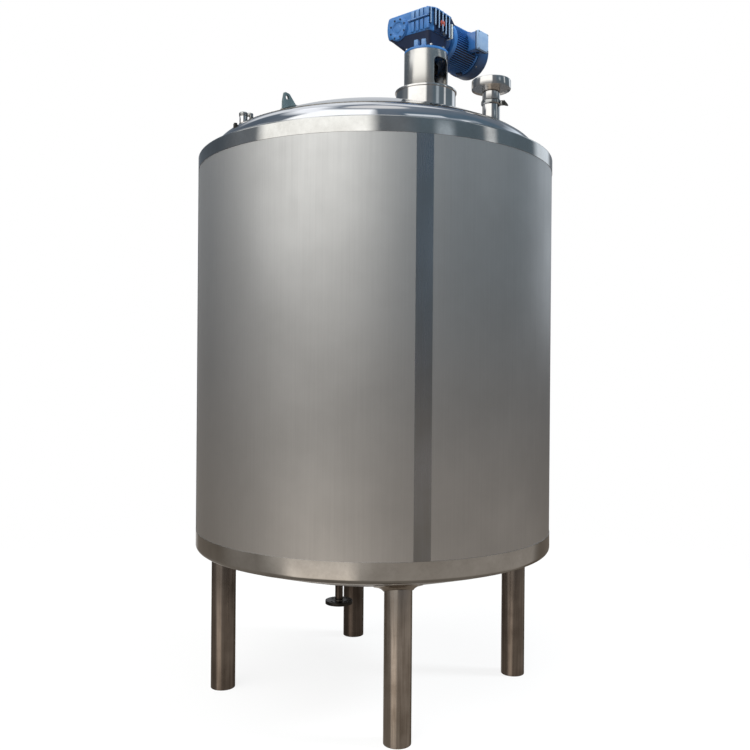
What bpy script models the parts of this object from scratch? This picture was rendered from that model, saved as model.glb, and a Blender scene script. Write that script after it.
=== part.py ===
"""Insulated stainless steel mixing tank on four pipe legs, with a top entry agitator.

Units are metres and +Z is up. The origin is on the tank's axis at the floor, and the side
that faces -Y is the front. Each named object is one piece of the tank.
"""

import math

import bmesh
import bpy
from mathutils import Matrix, Vector

# General sizes
GAP = 0.0003                 # running gap left between two touching pieces
RING_STEPS = 48              # sides of the large turned pieces
SMALL_STEPS = 24             # sides of the small turned pieces

# Insulated wall
CLADDING_RADIUS = 0.8397     # outer face of the cladding sheets
CLADDING_THICKNESS = 0.002
BAND_RADIUS = 0.8415         # outer face of the polished bands
BAND_THICKNESS = 0.0015
SEAM_DIRECTION = 13.3        # degrees round from the front, to the right
SEAM_WIDTH = 0.070
SEAM_THICKNESS = 0.0012
SHEET_COUNT = 4
RIM_HEIGHT = 2.488           # top of the tank's rolled rim
RIM_BEND = 0.009
TOP_BAND_BOTTOM = 2.423
BOTTOM_BAND_TOP = 0.757
SHELL_BOTTOM = 0.668         # lowest point of the rolled bottom edge
BOTTOM_BEND = 0.022

# Inner vessel
VESSEL_RADIUS = 0.780
VESSEL_THICKNESS = 0.005
HEAD_CROWN = 1.592
HEAD_KNUCKLE = 0.100
TOP_TANGENT = 2.482
BOTTOM_TANGENT = 0.840

# Dished cladding under the tank
UNDERSIDE_RADIUS = 0.7994
UNDERSIDE_CENTRE = 0.530
UNDERSIDE_LIP = 0.008         # short upright edge below the rolled band
UNDERSIDE_THICKNESS = 0.002

# Legs
LEG_CIRCLE = 0.711
LEG_RADIUS = 0.05715
LEG_TURN = 8.5               # degrees from the front to the first leg
COLLAR_RADIUS = 0.100
COLLAR_DEPTH = 0.019          # how far a collar reaches down from the underside
COLLAR_SLOPE = 0.33           # rise of a collar outwards, as it follows the underside
LEG_NAMES = ("front", "right", "back", "left")

# Outlet
OUTLET_X = -0.163
OUTLET_Y = 0.050
OUTLET_PIPE_RADIUS = 0.019
OUTLET_BORE = 0.017
OUTLET_FLANGE_RADIUS = 0.067
OUTLET_FLANGE_BOTTOM = 0.356
OUTLET_FLANGE_TOP = 0.372

# Lifting lugs
LUG_DIRECTION = -36.5
LUG_INNER = 0.5805
LUG_OUTER = 0.6645
LUG_THICKNESS = 0.010
LUG_TOP = 2.677
LUG_HOLE_RADIUS = 0.0095
LUG_HOLE_IN = 0.0265          # from the lug's outer edge
LUG_HOLE_DOWN = 0.021         # from the lug's top

# Small fittings on the head
NOZZLE_X = -0.5757
NOZZLE_Y = -0.425
NOZZLE_RADIUS = 0.0175
CAP_RADIUS = 0.0195
CAP_BOTTOM = 2.6015
CAP_TOP = 2.6185
PLUG_X = -0.6085
PLUG_Y = -0.436
PLUG_RADIUS = 0.0095
PLUG_TOP = 2.569
VENT_X = 0.511
VENT_Y = -0.352
VENT_RADIUS = 0.039
VENT_CLAMP_BOTTOM = 2.680
VENT_CLAMP_TOP = 2.702
VENT_CLAMP_RADIUS = 0.0440
VENT_HOOD_RADIUS = 0.0865
VENT_HOOD_BOTTOM = 2.750
VENT_HOOD_TOP = 2.790

# Agitator mounting
DRIVE_X = 0.243
DRIVE_Y = 0.020
BASE_RADIUS = 0.145
BASE_PLATE_RADIUS = 0.150
BASE_PLATE_BOTTOM = 2.850
BASE_PLATE_TOP = 2.860
PEDESTAL_RADIUS = 0.1065
PEDESTAL_WALL = 0.005
PEDESTAL_TOP = 3.041
WINDOW_DIRECTION = 43.0
WINDOW_WIDTH = 0.090
WINDOW_BOTTOM = 2.868
WINDOW_TOP = 3.005
WINDOW_CORNER = 0.026

# Shaft and impeller
SHAFT_RADIUS = 0.025
SHAFT_BOTTOM = 0.980
SEAL_TOP = 2.900
COUPLING_BOTTOM = 2.925
COUPLING_TOP = 3.020
IMPELLER_RADIUS = 0.280
IMPELLER_HEIGHT = 1.050
SHAFT_PASSAGE = 0.045

# Gear motor, in its own frame: x runs along the motor, y across it
GEAR_X = 0.2213
GEAR_Y = 0.0273
GEAR_TURN = 47.7
GEAR_LENGTH = 0.160
GEAR_RIGHT = -0.125          # end of the housing at the camera's right
GEAR_LEFT = 0.153            # end of the housing at the camera's left
GEAR_BULGE = 0.013           # how far the left end stands out at half its height
GEAR_CORNER = 0.045          # rounding of the near upright edge
GEAR_BOTTOM_RIGHT = 3.118
GEAR_BOTTOM_LEFT = 3.132
GEAR_TOP_NEAR = 3.249
GEAR_TOP_FAR = 3.227
GEAR_FLANGE_TOP = 3.0535
NECK_LOW = ((-0.0625, -0.098), (0.078, 0.058))
COVER_RADIUS = 0.052
COVER_PLACE = (0.0825, 3.171)
MOTOR_HEIGHT = 3.147
MOTOR_RADIUS = 0.1145
MOTOR_BODY_RADIUS = 0.1090
ADAPTER_RADIUS = 0.088
FLANGE_START = 0.119
MOTOR_START = 0.133
COWL_START = 0.330
MOTOR_END = 0.413


def clear_scene():
    """Remove every object, and every collection, that the file starts with."""
    for item in list(bpy.data.objects):
        bpy.data.objects.remove(item, do_unlink=True)
    for group in list(bpy.data.collections):
        bpy.data.collections.remove(group)


def new_collection(name):
    """Add a collection to the scene."""
    group = bpy.data.collections.new(name)
    bpy.context.scene.collection.children.link(group)
    return group


def make_material(name, colour, metallic, roughness):
    """Return a Principled material with the given colour, metal share and roughness."""
    material = bpy.data.materials.new(name)
    material.use_nodes = True
    shader = material.node_tree.nodes["Principled BSDF"]
    shader.inputs["Base Color"].default_value = (*colour, 1.0)
    shader.inputs["Metallic"].default_value = metallic
    shader.inputs["Roughness"].default_value = roughness
    material.diffuse_color = (*colour, 1.0)
    return material


def add_object(name, mesh, group, material=None):
    """Link a mesh to a collection as a named object with smooth shading."""
    item = bpy.data.objects.new(name, mesh)
    group.objects.link(item)
    if material is not None:
        mesh.materials.append(material)
    return item


def as_cutter(item):
    """Mark an object as a cutting tool that is not part of the tank."""
    item.hide_render = True
    item.display_type = "WIRE"
    return item


def place(item, centre, turn=0.0):
    """Put an object at a place on the plan, turned by an angle in degrees."""
    item.location = (centre[0], centre[1], 0.0)
    item.rotation_euler = (0.0, 0.0, math.radians(turn))
    return item


def polar(radius, direction):
    """Return the plan position at a radius, in degrees round from the front."""
    angle = math.radians(direction)
    return radius * math.sin(angle), -radius * math.cos(angle)


def screw(item, steps, angle=360.0):
    """Turn a profile round the vertical axis."""
    turn = item.modifiers.new("turn", "SCREW")
    turn.axis = "Z"
    turn.angle = math.radians(angle)
    turn.steps = steps
    turn.render_steps = steps
    turn.use_merge_vertices = True
    turn.merge_threshold = 0.00005
    turn.use_smooth_shade = True
    return turn


def profile_mesh(name, points, closed):
    """Return a mesh that holds a profile in the XZ plane as a chain of edges."""
    mesh = bpy.data.meshes.new(name)
    corners = [(radius, 0.0, height) for radius, height in points]
    edges = [(i, i + 1) for i in range(len(corners) - 1)]
    if closed:
        edges.append((len(corners) - 1, 0))
    mesh.from_pydata(corners, edges, [])
    return mesh


def turned(name, points, group, material=None, closed=True, steps=RING_STEPS, centre=(0.0, 0.0)):
    """Make a full turned piece from a profile that runs down its outer side.

    All the rings start at the seam, so their flats lie on each other.
    """
    item = add_object(name, profile_mesh(name, points, closed), group, material)
    place(item, centre, SEAM_DIRECTION - 90.0)
    screw(item, steps)
    return item


def sheet(name, radius, bottom, top, direction, width, thickness, steps, group, material):
    """Make one curved sheet: an arc of wall, thickened inwards."""
    mesh = profile_mesh(name, [(radius, top), (radius, bottom)], False)
    item = add_object(name, mesh, group, material)
    place(item, (0.0, 0.0), direction - 90.0 - width / 2.0)
    screw(item, steps, width)
    wall = item.modifiers.new("wall", "SOLIDIFY")
    wall.thickness = thickness
    wall.offset = -1.0
    return item


def cylinder(name, radius, bottom, top, group, material=None, centre=(0.0, 0.0), steps=SMALL_STEPS):
    """Make an upright cylinder between two heights."""
    mesh = bpy.data.meshes.new(name)
    shape = bmesh.new()
    lift = Matrix.Translation((0.0, 0.0, (bottom + top) / 2.0))
    bmesh.ops.create_cone(shape, cap_ends=True, segments=steps, radius1=radius, radius2=radius,
                          depth=top - bottom, matrix=lift)
    shape.to_mesh(mesh)
    shape.free()
    item = add_object(name, mesh, group, material)
    place(item, centre)
    return item


def lying_cylinder(name, radius, start, end, height, group, material=None, steps=SMALL_STEPS):
    """Make a cylinder along the gear motor's x axis, at a height."""
    mesh = bpy.data.meshes.new(name)
    shape = bmesh.new()
    turn = Matrix.Rotation(math.radians(90.0), 4, "Y")
    move = Matrix.Translation(((start + end) / 2.0, 0.0, height))
    bmesh.ops.create_cone(shape, cap_ends=True, segments=steps, radius1=radius, radius2=radius,
                          depth=end - start, matrix=move @ turn)
    shape.to_mesh(mesh)
    shape.free()
    return add_object(name, mesh, group, material)


def box(name, low, high, group, material=None, bevel=0.0):
    """Make a box between two corners, with its edges rounded by one flat."""
    mesh = bpy.data.meshes.new(name)
    shape = bmesh.new()
    size = Vector(high) - Vector(low)
    middle = (Vector(high) + Vector(low)) / 2.0
    stretch = Matrix.Diagonal((*size, 1.0))
    bmesh.ops.create_cube(shape, size=1.0, matrix=Matrix.Translation(middle) @ stretch)
    shape.to_mesh(mesh)
    shape.free()
    item = add_object(name, mesh, group, material)
    if bevel > 0.0:
        edge = item.modifiers.new("edge", "BEVEL")
        edge.width = bevel
        edge.segments = 2
    return item


def plate(name, corners, thickness, matrix, group, material=None):
    """Make a flat outline into a closed plate, half its thickness to each side, and place it."""
    curve = bpy.data.curves.new(name, "CURVE")
    curve.dimensions = "2D"
    curve.fill_mode = "BOTH"
    curve.extrude = thickness / 2.0
    line = curve.splines.new("POLY")
    line.points.add(len(corners) - 1)
    for point, corner in zip(line.points, corners):
        point.co = (corner[0], corner[1], 0.0, 1.0)
    line.use_cyclic_u = True
    flat = bpy.data.objects.new(name + "_outline", curve)
    group.objects.link(flat)
    bpy.context.view_layer.update()
    graph = bpy.context.evaluated_depsgraph_get()
    mesh = bpy.data.meshes.new_from_object(flat.evaluated_get(graph))
    bpy.data.objects.remove(flat, do_unlink=True)
    weld = bmesh.new()
    weld.from_mesh(mesh)
    bmesh.ops.remove_doubles(weld, verts=weld.verts, dist=0.00001)
    bmesh.ops.transform(weld, matrix=matrix, verts=weld.verts)
    bmesh.ops.recalc_face_normals(weld, faces=weld.faces)
    weld.to_mesh(mesh)
    weld.free()
    return add_object(name, mesh, group, material)


def combine(item, other, operation):
    """Cut one object with another, or join the two."""
    step = item.modifiers.new(operation.lower(), "BOOLEAN")
    step.operation = operation
    step.solver = "EXACT"
    step.object = other
    return item


def head_outline(tangent, offset, upward, knuckle_points=3, crown_points=5):
    """Return the outline of a dished head, from its rim to its crown, moved out by an offset."""
    sign = 1.0 if upward else -1.0
    knuckle_centre = VESSEL_RADIUS - HEAD_KNUCKLE
    reach = HEAD_CROWN - HEAD_KNUCKLE
    drop = math.sqrt(reach ** 2 - knuckle_centre ** 2)
    meeting = math.asin(knuckle_centre / reach)
    points = []
    for index in range(knuckle_points + 1):
        angle = math.pi / 2.0 + (meeting - math.pi / 2.0) * index / knuckle_points
        radius = knuckle_centre + (HEAD_KNUCKLE + offset) * math.sin(angle)
        points.append((radius, tangent + sign * (HEAD_KNUCKLE + offset) * math.cos(angle)))
    for index in range(1, crown_points + 1):
        angle = meeting * (1.0 - index / crown_points)
        radius = (HEAD_CROWN + offset) * math.sin(angle)
        height = (HEAD_CROWN + offset) * math.cos(angle) - drop
        points.append((max(radius, 0.0), tangent + sign * height))
    points[-1] = (0.0, points[-1][1])
    return points


def underside_outline(offset, count=4):
    """Return the outline of the dished underside, from its edge to its centre."""
    depth = SHELL_BOTTOM - UNDERSIDE_LIP - UNDERSIDE_CENTRE
    crown = (UNDERSIDE_RADIUS ** 2 + depth ** 2) / (2.0 * depth)
    centre = UNDERSIDE_CENTRE + crown
    edge = math.asin(UNDERSIDE_RADIUS / crown)
    points = []
    for index in range(count + 1):
        angle = edge * (1.0 - index / count)
        points.append(((crown + offset) * math.sin(angle), centre - (crown + offset) * math.cos(angle)))
    points[-1] = (0.0, points[-1][1])
    return points


def underside_height(radius):
    """Return the height of the underside's outer face at a distance from the tank's axis."""
    depth = SHELL_BOTTOM - UNDERSIDE_LIP - UNDERSIDE_CENTRE
    crown = (UNDERSIDE_RADIUS ** 2 + depth ** 2) / (2.0 * depth)
    return UNDERSIDE_CENTRE + crown - math.sqrt(crown ** 2 - radius ** 2)


def bend(centre_radius, centre_height, radius, start, end, count=2):
    """Return points along a bend in a profile, between two angles in degrees."""
    points = []
    for index in range(count + 1):
        angle = math.radians(start + (end - start) * index / count)
        points.append((centre_radius + radius * math.cos(angle), centre_height + radius * math.sin(angle)))
    return points


def build_wall(group, steel):
    """Make the four cladding sheets, their seam strips and the two polished bands."""
    share = 360.0 / SHEET_COUNT
    joint = math.degrees(GAP / CLADDING_RADIUS)
    strip = math.degrees(SEAM_WIDTH / CLADDING_RADIUS)
    names = ("front", "right", "back", "left")
    inner_band = BAND_RADIUS - BAND_THICKNESS
    for index, name in enumerate(names):
        seam = SEAM_DIRECTION + share * index
        sheet("cladding_sheet_" + name, CLADDING_RADIUS, SHELL_BOTTOM + BOTTOM_BEND + GAP,
              RIM_HEIGHT - RIM_BEND - GAP, seam - share / 2.0, share - joint, CLADDING_THICKNESS,
              RING_STEPS // SHEET_COUNT, group, steel["cladding"])
        sheet("seam_strip_" + name, CLADDING_RADIUS + GAP + SEAM_THICKNESS, BOTTOM_BAND_TOP + GAP,
              TOP_BAND_BOTTOM - GAP, seam, strip, SEAM_THICKNESS, 4, group, steel["seam"])
    outer = [(VESSEL_RADIUS + 2.0 * GAP, RIM_HEIGHT)]
    outer += bend(BAND_RADIUS - RIM_BEND, RIM_HEIGHT - RIM_BEND, RIM_BEND, 90.0, 0.0)
    outer.append((BAND_RADIUS, TOP_BAND_BOTTOM))
    inner = [(inner_band, TOP_BAND_BOTTOM)]
    inner += bend(BAND_RADIUS - RIM_BEND, RIM_HEIGHT - RIM_BEND, RIM_BEND - BAND_THICKNESS, 0.0, 90.0)
    inner.append((VESSEL_RADIUS + 2.0 * GAP, RIM_HEIGHT - BAND_THICKNESS))
    turned("top_rim_band", outer + inner, group, steel["polished"])
    corner = (BAND_RADIUS - BOTTOM_BEND, SHELL_BOTTOM + BOTTOM_BEND)
    outer = [(BAND_RADIUS, BOTTOM_BAND_TOP)]
    outer += bend(*corner, BOTTOM_BEND, 0.0, -90.0)
    outer.append((UNDERSIDE_RADIUS + GAP, SHELL_BOTTOM))
    inner = [(UNDERSIDE_RADIUS + GAP, SHELL_BOTTOM + BAND_THICKNESS)]
    inner += bend(*corner, BOTTOM_BEND - BAND_THICKNESS, -90.0, 0.0)
    inner.append((inner_band, BOTTOM_BAND_TOP))
    turned("bottom_edge_band", outer + inner, group, steel["polished"])


def build_vessel(group, tools, steel):
    """Make the inner vessel's wall and its two dished ends."""
    bottom = BOTTOM_TANGENT + GAP
    top = TOP_TANGENT - GAP
    inner_radius = VESSEL_RADIUS - VESSEL_THICKNESS
    wall = [(VESSEL_RADIUS, top), (VESSEL_RADIUS, bottom), (inner_radius, bottom), (inner_radius, top)]
    turned("inner_vessel", wall, group, steel["vessel"])
    outer = head_outline(TOP_TANGENT, 0.0, True)
    inner = head_outline(TOP_TANGENT, -VESSEL_THICKNESS, True)
    head = turned("top_head", outer[::-1] + inner, group, steel["head"], closed=False)
    passage = as_cutter(cylinder("shaft_passage", SHAFT_PASSAGE, 2.40, 3.04, tools,
                                 centre=(DRIVE_X, DRIVE_Y)))
    combine(head, passage, "DIFFERENCE")
    outer = head_outline(BOTTOM_TANGENT, 0.0, False)
    inner = head_outline(BOTTOM_TANGENT, -VESSEL_THICKNESS, False)
    bottom_head = turned("bottom_head", inner[::-1] + outer, group, steel["vessel"], closed=False)
    bore = as_cutter(cylinder("outlet_bore", OUTLET_BORE, 0.30, 0.70, tools,
                              centre=(OUTLET_X, OUTLET_Y)))
    combine(bottom_head, bore, "DIFFERENCE")


def build_underside(group, tools, steel):
    """Make the dished cladding that closes the insulation below the tank."""
    outer = underside_outline(0.0)
    inner = underside_outline(-UNDERSIDE_THICKNESS)
    inner[0] = (UNDERSIDE_RADIUS - UNDERSIDE_THICKNESS, inner[0][1])
    top = SHELL_BOTTOM + BAND_THICKNESS
    lip = [(inner[0][0], top), (UNDERSIDE_RADIUS, top)]
    cover = turned("underside_cladding", inner[::-1] + lip + outer, group, steel["cladding"],
                   closed=False)
    hole = as_cutter(cylinder("outlet_hole", OUTLET_PIPE_RADIUS + 2.0 * GAP, 0.30, 0.70, tools,
                              centre=(OUTLET_X, OUTLET_Y)))
    combine(cover, hole, "DIFFERENCE")


def dome_cutter(tools):
    """Return the solid that trims what stands on the top head."""
    outline = head_outline(TOP_TANGENT, GAP, True)[::-1]
    outline += [(outline[-1][0], 2.30), (0.0, 2.30)]
    return as_cutter(turned("dome_trim", outline, tools, closed=False))


def underside_cutter(tools):
    """Return the solid that trims what meets the tank from below."""
    outline = underside_outline(GAP)
    edge = outline[0][0] - 0.001
    points = [(0.0, 1.20), (0.95, 1.20), (0.95, 0.50), (edge, 0.50), (edge, outline[0][1])] + outline[1:]
    return as_cutter(turned("underside_trim", points, tools, closed=False))


def vessel_end_cutter(tools):
    """Return the solid that trims the outlet pipe at the vessel's bottom end."""
    outline = head_outline(BOTTOM_TANGENT, GAP, False)
    points = [(0.0, 1.40), (outline[0][0], 1.40)] + outline
    return as_cutter(turned("vessel_end_trim", points, tools, closed=False))


def build_legs(group, tools, steel):
    """Make four pipe legs, each with a flared collar where it meets the cladding."""
    trim = underside_cutter(tools)
    for index, name in enumerate(LEG_NAMES):
        centre = polar(LEG_CIRCLE, LEG_TURN + 90.0 * index)
        leg = cylinder("leg_" + name, LEG_RADIUS, 0.0, 0.90, group, steel["leg"], centre)
        combine(leg, trim, "DIFFERENCE")
        collar = build_collar("leg_collar_" + name, LEG_TURN + 90.0 * index, group, steel["polished"])
        combine(collar, trim, "DIFFERENCE")


def build_collar(name, direction, group, material):
    """Make one flared collar round a leg, leaning so that it follows the dished underside."""
    inner = LEG_RADIUS + 2.0 * GAP
    flare = [(inner, 0.08), (COLLAR_RADIUS, 0.08), (COLLAR_RADIUS, 0.0), (inner + 0.022, -0.004),
             (inner + 0.010, -0.011), (inner + 0.003, -COLLAR_DEPTH), (inner, -COLLAR_DEPTH)]
    shape = bmesh.new()
    corners = [shape.verts.new((radius, 0.0, height)) for radius, height in flare]
    edges = [shape.edges.new((corners[i - 1], corners[i])) for i in range(len(corners))]
    bmesh.ops.spin(shape, geom=corners + edges, cent=(0.0, 0.0, 0.0), axis=(0.0, 0.0, 1.0),
                   angle=math.tau, steps=SMALL_STEPS, use_duplicate=False)
    bmesh.ops.remove_doubles(shape, verts=shape.verts[:], dist=0.0001)
    bmesh.ops.recalc_face_normals(shape, faces=shape.faces[:])
    lean = Matrix.Identity(4)
    lean[2][0] = COLLAR_SLOPE
    bmesh.ops.transform(shape, matrix=lean, verts=shape.verts[:])
    mesh = bpy.data.meshes.new(name)
    shape.to_mesh(mesh)
    shape.free()
    item = add_object(name, mesh, group, material)
    centre = polar(LEG_CIRCLE, direction)
    item.location = (centre[0], centre[1], underside_height(LEG_CIRCLE))
    item.rotation_euler = (0.0, 0.0, math.radians(direction - 90.0))
    return item


def build_outlet(group, tools, steel):
    """Make the bottom outlet: a pipe from the vessel's end and a plain flange."""
    centre = (OUTLET_X, OUTLET_Y)
    bottom = OUTLET_FLANGE_TOP + GAP
    pipe = [(OUTLET_PIPE_RADIUS, 0.75), (OUTLET_PIPE_RADIUS, bottom), (OUTLET_BORE, bottom),
            (OUTLET_BORE, 0.75)]
    item = turned("outlet_pipe", pipe, group, steel["leg"], steps=SMALL_STEPS, centre=centre)
    combine(item, vessel_end_cutter(tools), "DIFFERENCE")
    flange = [(OUTLET_FLANGE_RADIUS, OUTLET_FLANGE_TOP), (OUTLET_FLANGE_RADIUS, OUTLET_FLANGE_BOTTOM),
              (OUTLET_BORE, OUTLET_FLANGE_BOTTOM), (OUTLET_BORE, OUTLET_FLANGE_TOP)]
    turned("outlet_flange", flange, group, steel["flange"], steps=SMALL_STEPS, centre=centre)


def lug_outline():
    """Return the lug's corners in its own plane: distance from the tank's axis and height."""
    return ((LUG_INNER, 2.50), (LUG_INNER, 2.636), (LUG_OUTER - 0.042, LUG_TOP - 0.004),
            (LUG_OUTER - 0.032, LUG_TOP), (LUG_OUTER - 0.017, LUG_TOP), (LUG_OUTER - 0.009, LUG_TOP - 0.006),
            (LUG_OUTER - 0.004, LUG_TOP - 0.018), (LUG_OUTER, 2.620), (LUG_OUTER, 2.50))


def build_lugs(group, tools, trim, steel):
    """Make two upright lifting lugs on the head, across the tank from each other."""
    for index, name in enumerate(("front", "back")):
        item = plate("lifting_lug_" + name, lug_outline(), LUG_THICKNESS, Matrix.Identity(4), group,
                     steel["lug"])
        direction = LUG_DIRECTION + 180.0 * index
        item.rotation_euler = (math.radians(90.0), 0.0, math.radians(direction - 90.0))
        hole_place = polar(LUG_OUTER - LUG_HOLE_IN, direction)
        hole = cylinder("lug_hole_" + name, LUG_HOLE_RADIUS, -0.05, 0.05, tools, steps=20)
        hole.rotation_euler = (math.radians(90.0), 0.0, math.radians(direction - 90.0))
        hole.location = (hole_place[0], hole_place[1], LUG_TOP - LUG_HOLE_DOWN)
        combine(item, as_cutter(hole), "DIFFERENCE")
        combine(item, trim, "DIFFERENCE")


def build_small_fittings(group, tools, trim, steel):
    """Make the capped nozzle and the small plug beside it."""
    centre = (NOZZLE_X, NOZZLE_Y)
    nozzle = cylinder("capped_nozzle", NOZZLE_RADIUS, 2.50, CAP_BOTTOM - GAP, group,
                      steel["polished"], centre)
    combine(nozzle, trim, "DIFFERENCE")
    cap = [(0.0, CAP_TOP), (CAP_RADIUS - 0.005, CAP_TOP), (CAP_RADIUS, CAP_TOP - 0.004),
           (CAP_RADIUS, CAP_BOTTOM), (0.0, CAP_BOTTOM)]
    cover = turned("nozzle_cap", cap, group, steel["fitting"], closed=False, steps=SMALL_STEPS,
                   centre=centre)
    ear = as_cutter(box("cap_ear", (CAP_RADIUS - 0.0012, -0.007, CAP_BOTTOM - 0.005),
                        (0.043, 0.007, CAP_TOP - 0.002), tools))
    place(ear, centre)
    combine(cover, ear, "UNION")
    plug = cylinder("head_plug", PLUG_RADIUS, 2.45, PLUG_TOP, group, steel["fitting"],
                    (PLUG_X, PLUG_Y), 12)
    combine(plug, trim, "DIFFERENCE")


def build_vent(group, tools, trim, steel):
    """Make the vent: a stub with a clamp ring and wing nut under a mushroom hood."""
    centre = (VENT_X, VENT_Y)
    neck = VENT_RADIUS - 0.004
    middle = (VENT_CLAMP_BOTTOM + VENT_CLAMP_TOP) / 2.0
    outer = VENT_CLAMP_RADIUS
    clamp = [(outer, middle + 0.006), (outer, middle - 0.006), (outer - 0.003, VENT_CLAMP_BOTTOM),
             (neck + 2.0 * GAP, VENT_CLAMP_BOTTOM), (neck + 2.0 * GAP, VENT_CLAMP_TOP),
             (outer - 0.003, VENT_CLAMP_TOP)]
    turned("vent_clamp", clamp, group, steel["fitting"], steps=SMALL_STEPS, centre=centre)
    stem = [(0.0, VENT_HOOD_TOP - 0.002 - GAP), (VENT_RADIUS, VENT_HOOD_TOP - 0.002 - GAP),
            (VENT_RADIUS, VENT_CLAMP_TOP + GAP), (neck, VENT_CLAMP_TOP + GAP),
            (neck, VENT_CLAMP_BOTTOM - GAP), (VENT_RADIUS, VENT_CLAMP_BOTTOM - GAP),
            (VENT_RADIUS, 2.50), (0.0, 2.50)]
    stub = turned("vent_stub", stem, group, steel["polished"], closed=False, steps=SMALL_STEPS,
                  centre=centre)
    combine(stub, trim, "DIFFERENCE")
    radius = VENT_HOOD_RADIUS
    hood = [(0.0, VENT_HOOD_TOP), (radius - 0.006, VENT_HOOD_TOP)]
    hood += bend(radius - 0.006, VENT_HOOD_TOP - 0.006, 0.006, 90.0, 0.0, 3)[1:]
    hood += [(radius, VENT_HOOD_BOTTOM), (radius - 0.002, VENT_HOOD_BOTTOM)]
    hood += bend(radius - 0.006, VENT_HOOD_TOP - 0.006, 0.004, 0.0, 90.0, 3)
    hood.append((0.0, VENT_HOOD_TOP - 0.002))
    turned("vent_hood", hood, group, steel["fitting"], closed=False, steps=SMALL_STEPS, centre=centre)
    wing = box("vent_wing_nut", (outer + GAP, -0.006, middle - 0.021),
               (0.0780, 0.006, middle + 0.004), group, steel["fitting"], 0.003)
    place(wing, centre, -14.0)


def build_pedestal(group, tools, trim, steel):
    """Make the agitator's mounting: base, plate, seal and the pedestal with its two windows."""
    centre = (DRIVE_X, DRIVE_Y)
    wall = BASE_RADIUS - 0.006
    base = [(BASE_RADIUS, BASE_PLATE_BOTTOM - GAP), (BASE_RADIUS, 2.60), (wall, 2.60),
            (wall, BASE_PLATE_BOTTOM - GAP)]
    item = turned("agitator_base", base, group, steel["polished"], steps=32, centre=centre)
    combine(item, trim, "DIFFERENCE")
    plate = [(BASE_PLATE_RADIUS - 0.002, BASE_PLATE_TOP), (BASE_PLATE_RADIUS, BASE_PLATE_TOP - 0.002),
             (BASE_PLATE_RADIUS, BASE_PLATE_BOTTOM), (SHAFT_PASSAGE, BASE_PLATE_BOTTOM),
             (SHAFT_PASSAGE, BASE_PLATE_TOP)]
    turned("agitator_base_plate", plate, group, steel["polished"], steps=32, centre=centre)
    bore = SHAFT_RADIUS + 2.0 * GAP
    seal = [(0.060, SEAL_TOP), (0.060, BASE_PLATE_TOP + 0.012), (0.074, BASE_PLATE_TOP + 0.012),
            (0.074, BASE_PLATE_TOP + GAP), (bore, BASE_PLATE_TOP + GAP), (bore, SEAL_TOP)]
    turned("shaft_seal", seal, group, steel["dark"], steps=SMALL_STEPS, centre=centre)
    low = BASE_PLATE_TOP + GAP
    inner = PEDESTAL_RADIUS - PEDESTAL_WALL
    tube = [(PEDESTAL_RADIUS, PEDESTAL_TOP), (PEDESTAL_RADIUS, low), (inner, low), (inner, PEDESTAL_TOP)]
    pipe = turned("drive_pedestal", tube, group, steel["pedestal"], steps=32, centre=centre)
    reach = PEDESTAL_RADIUS + 0.05
    window = box("pedestal_window", (-WINDOW_WIDTH / 2.0, -reach, WINDOW_BOTTOM),
                 (WINDOW_WIDTH / 2.0, reach, WINDOW_TOP), tools)
    corner = window.modifiers.new("corner", "BEVEL")
    corner.width = WINDOW_CORNER
    corner.segments = 4
    place(as_cutter(window), centre, WINDOW_DIRECTION)
    combine(pipe, window, "DIFFERENCE")


def build_agitator(group, tools, steel):
    """Make what turns: the shaft, its coupling and the pitched blade impeller."""
    centre = (DRIVE_X, DRIVE_Y)
    top = PEDESTAL_TOP - GAP
    cylinder("agitator_shaft", SHAFT_RADIUS, SHAFT_BOTTOM, top, group, steel["shaft"], centre)
    bore = SHAFT_RADIUS + GAP
    middle = (COUPLING_BOTTOM + COUPLING_TOP) / 2.0
    ring = [(0.042, COUPLING_TOP), (0.042, middle + 0.016), (0.058, middle + 0.016),
            (0.058, middle - 0.016), (0.042, middle - 0.016), (0.042, COUPLING_BOTTOM),
            (bore, COUPLING_BOTTOM), (bore, COUPLING_TOP)]
    turned("shaft_coupling", ring, group, steel["dark"], steps=SMALL_STEPS, centre=centre)
    hub = [(0.045, IMPELLER_HEIGHT + 0.045), (0.045, IMPELLER_HEIGHT - 0.045),
           (bore, IMPELLER_HEIGHT - 0.045), (bore, IMPELLER_HEIGHT + 0.045)]
    impeller = turned("impeller", hub, group, steel["shaft"], steps=SMALL_STEPS, centre=centre)
    for index in range(4):
        blade = box("blade_%d" % index, (0.035, -0.004, -0.045), (IMPELLER_RADIUS, 0.004, 0.045), tools)
        spin = Matrix.Rotation(math.radians(90.0 * index), 4, "Z")
        pitch = Matrix.Rotation(math.radians(45.0), 4, "X")
        move = Matrix.Translation((centre[0], centre[1], IMPELLER_HEIGHT))
        blade.matrix_world = move @ spin @ pitch
        combine(impeller, as_cutter(blade), "UNION")


def housing_plan():
    """Return the housing's plan outline, with its near upright edge rounded."""
    half = GEAR_LENGTH / 2.0
    left = GEAR_LEFT + GEAR_BULGE
    small = 0.008
    corners = bend(-half + GEAR_CORNER, GEAR_RIGHT + GEAR_CORNER, GEAR_CORNER, 180.0, 270.0, 6)
    corners += bend(half - small, GEAR_RIGHT + small, small, 270.0, 360.0, 2)
    return corners + [(half, left), (-half, left)]


def housing_side():
    """Return the housing's outline across the motor: its sloping base and bulging left end."""
    rise = GEAR_TOP_NEAR - GEAR_BOTTOM_LEFT
    corners = [(GEAR_LEFT, GEAR_TOP_NEAR), (GEAR_RIGHT, GEAR_TOP_NEAR), (GEAR_RIGHT, GEAR_BOTTOM_RIGHT)]
    for index in range(7):
        share = index / 7.0
        out = GEAR_LEFT + GEAR_BULGE * (1.0 - (2.0 * share - 1.0) ** 2)
        corners.append((out, GEAR_BOTTOM_LEFT + rise * share))
    return corners


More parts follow.
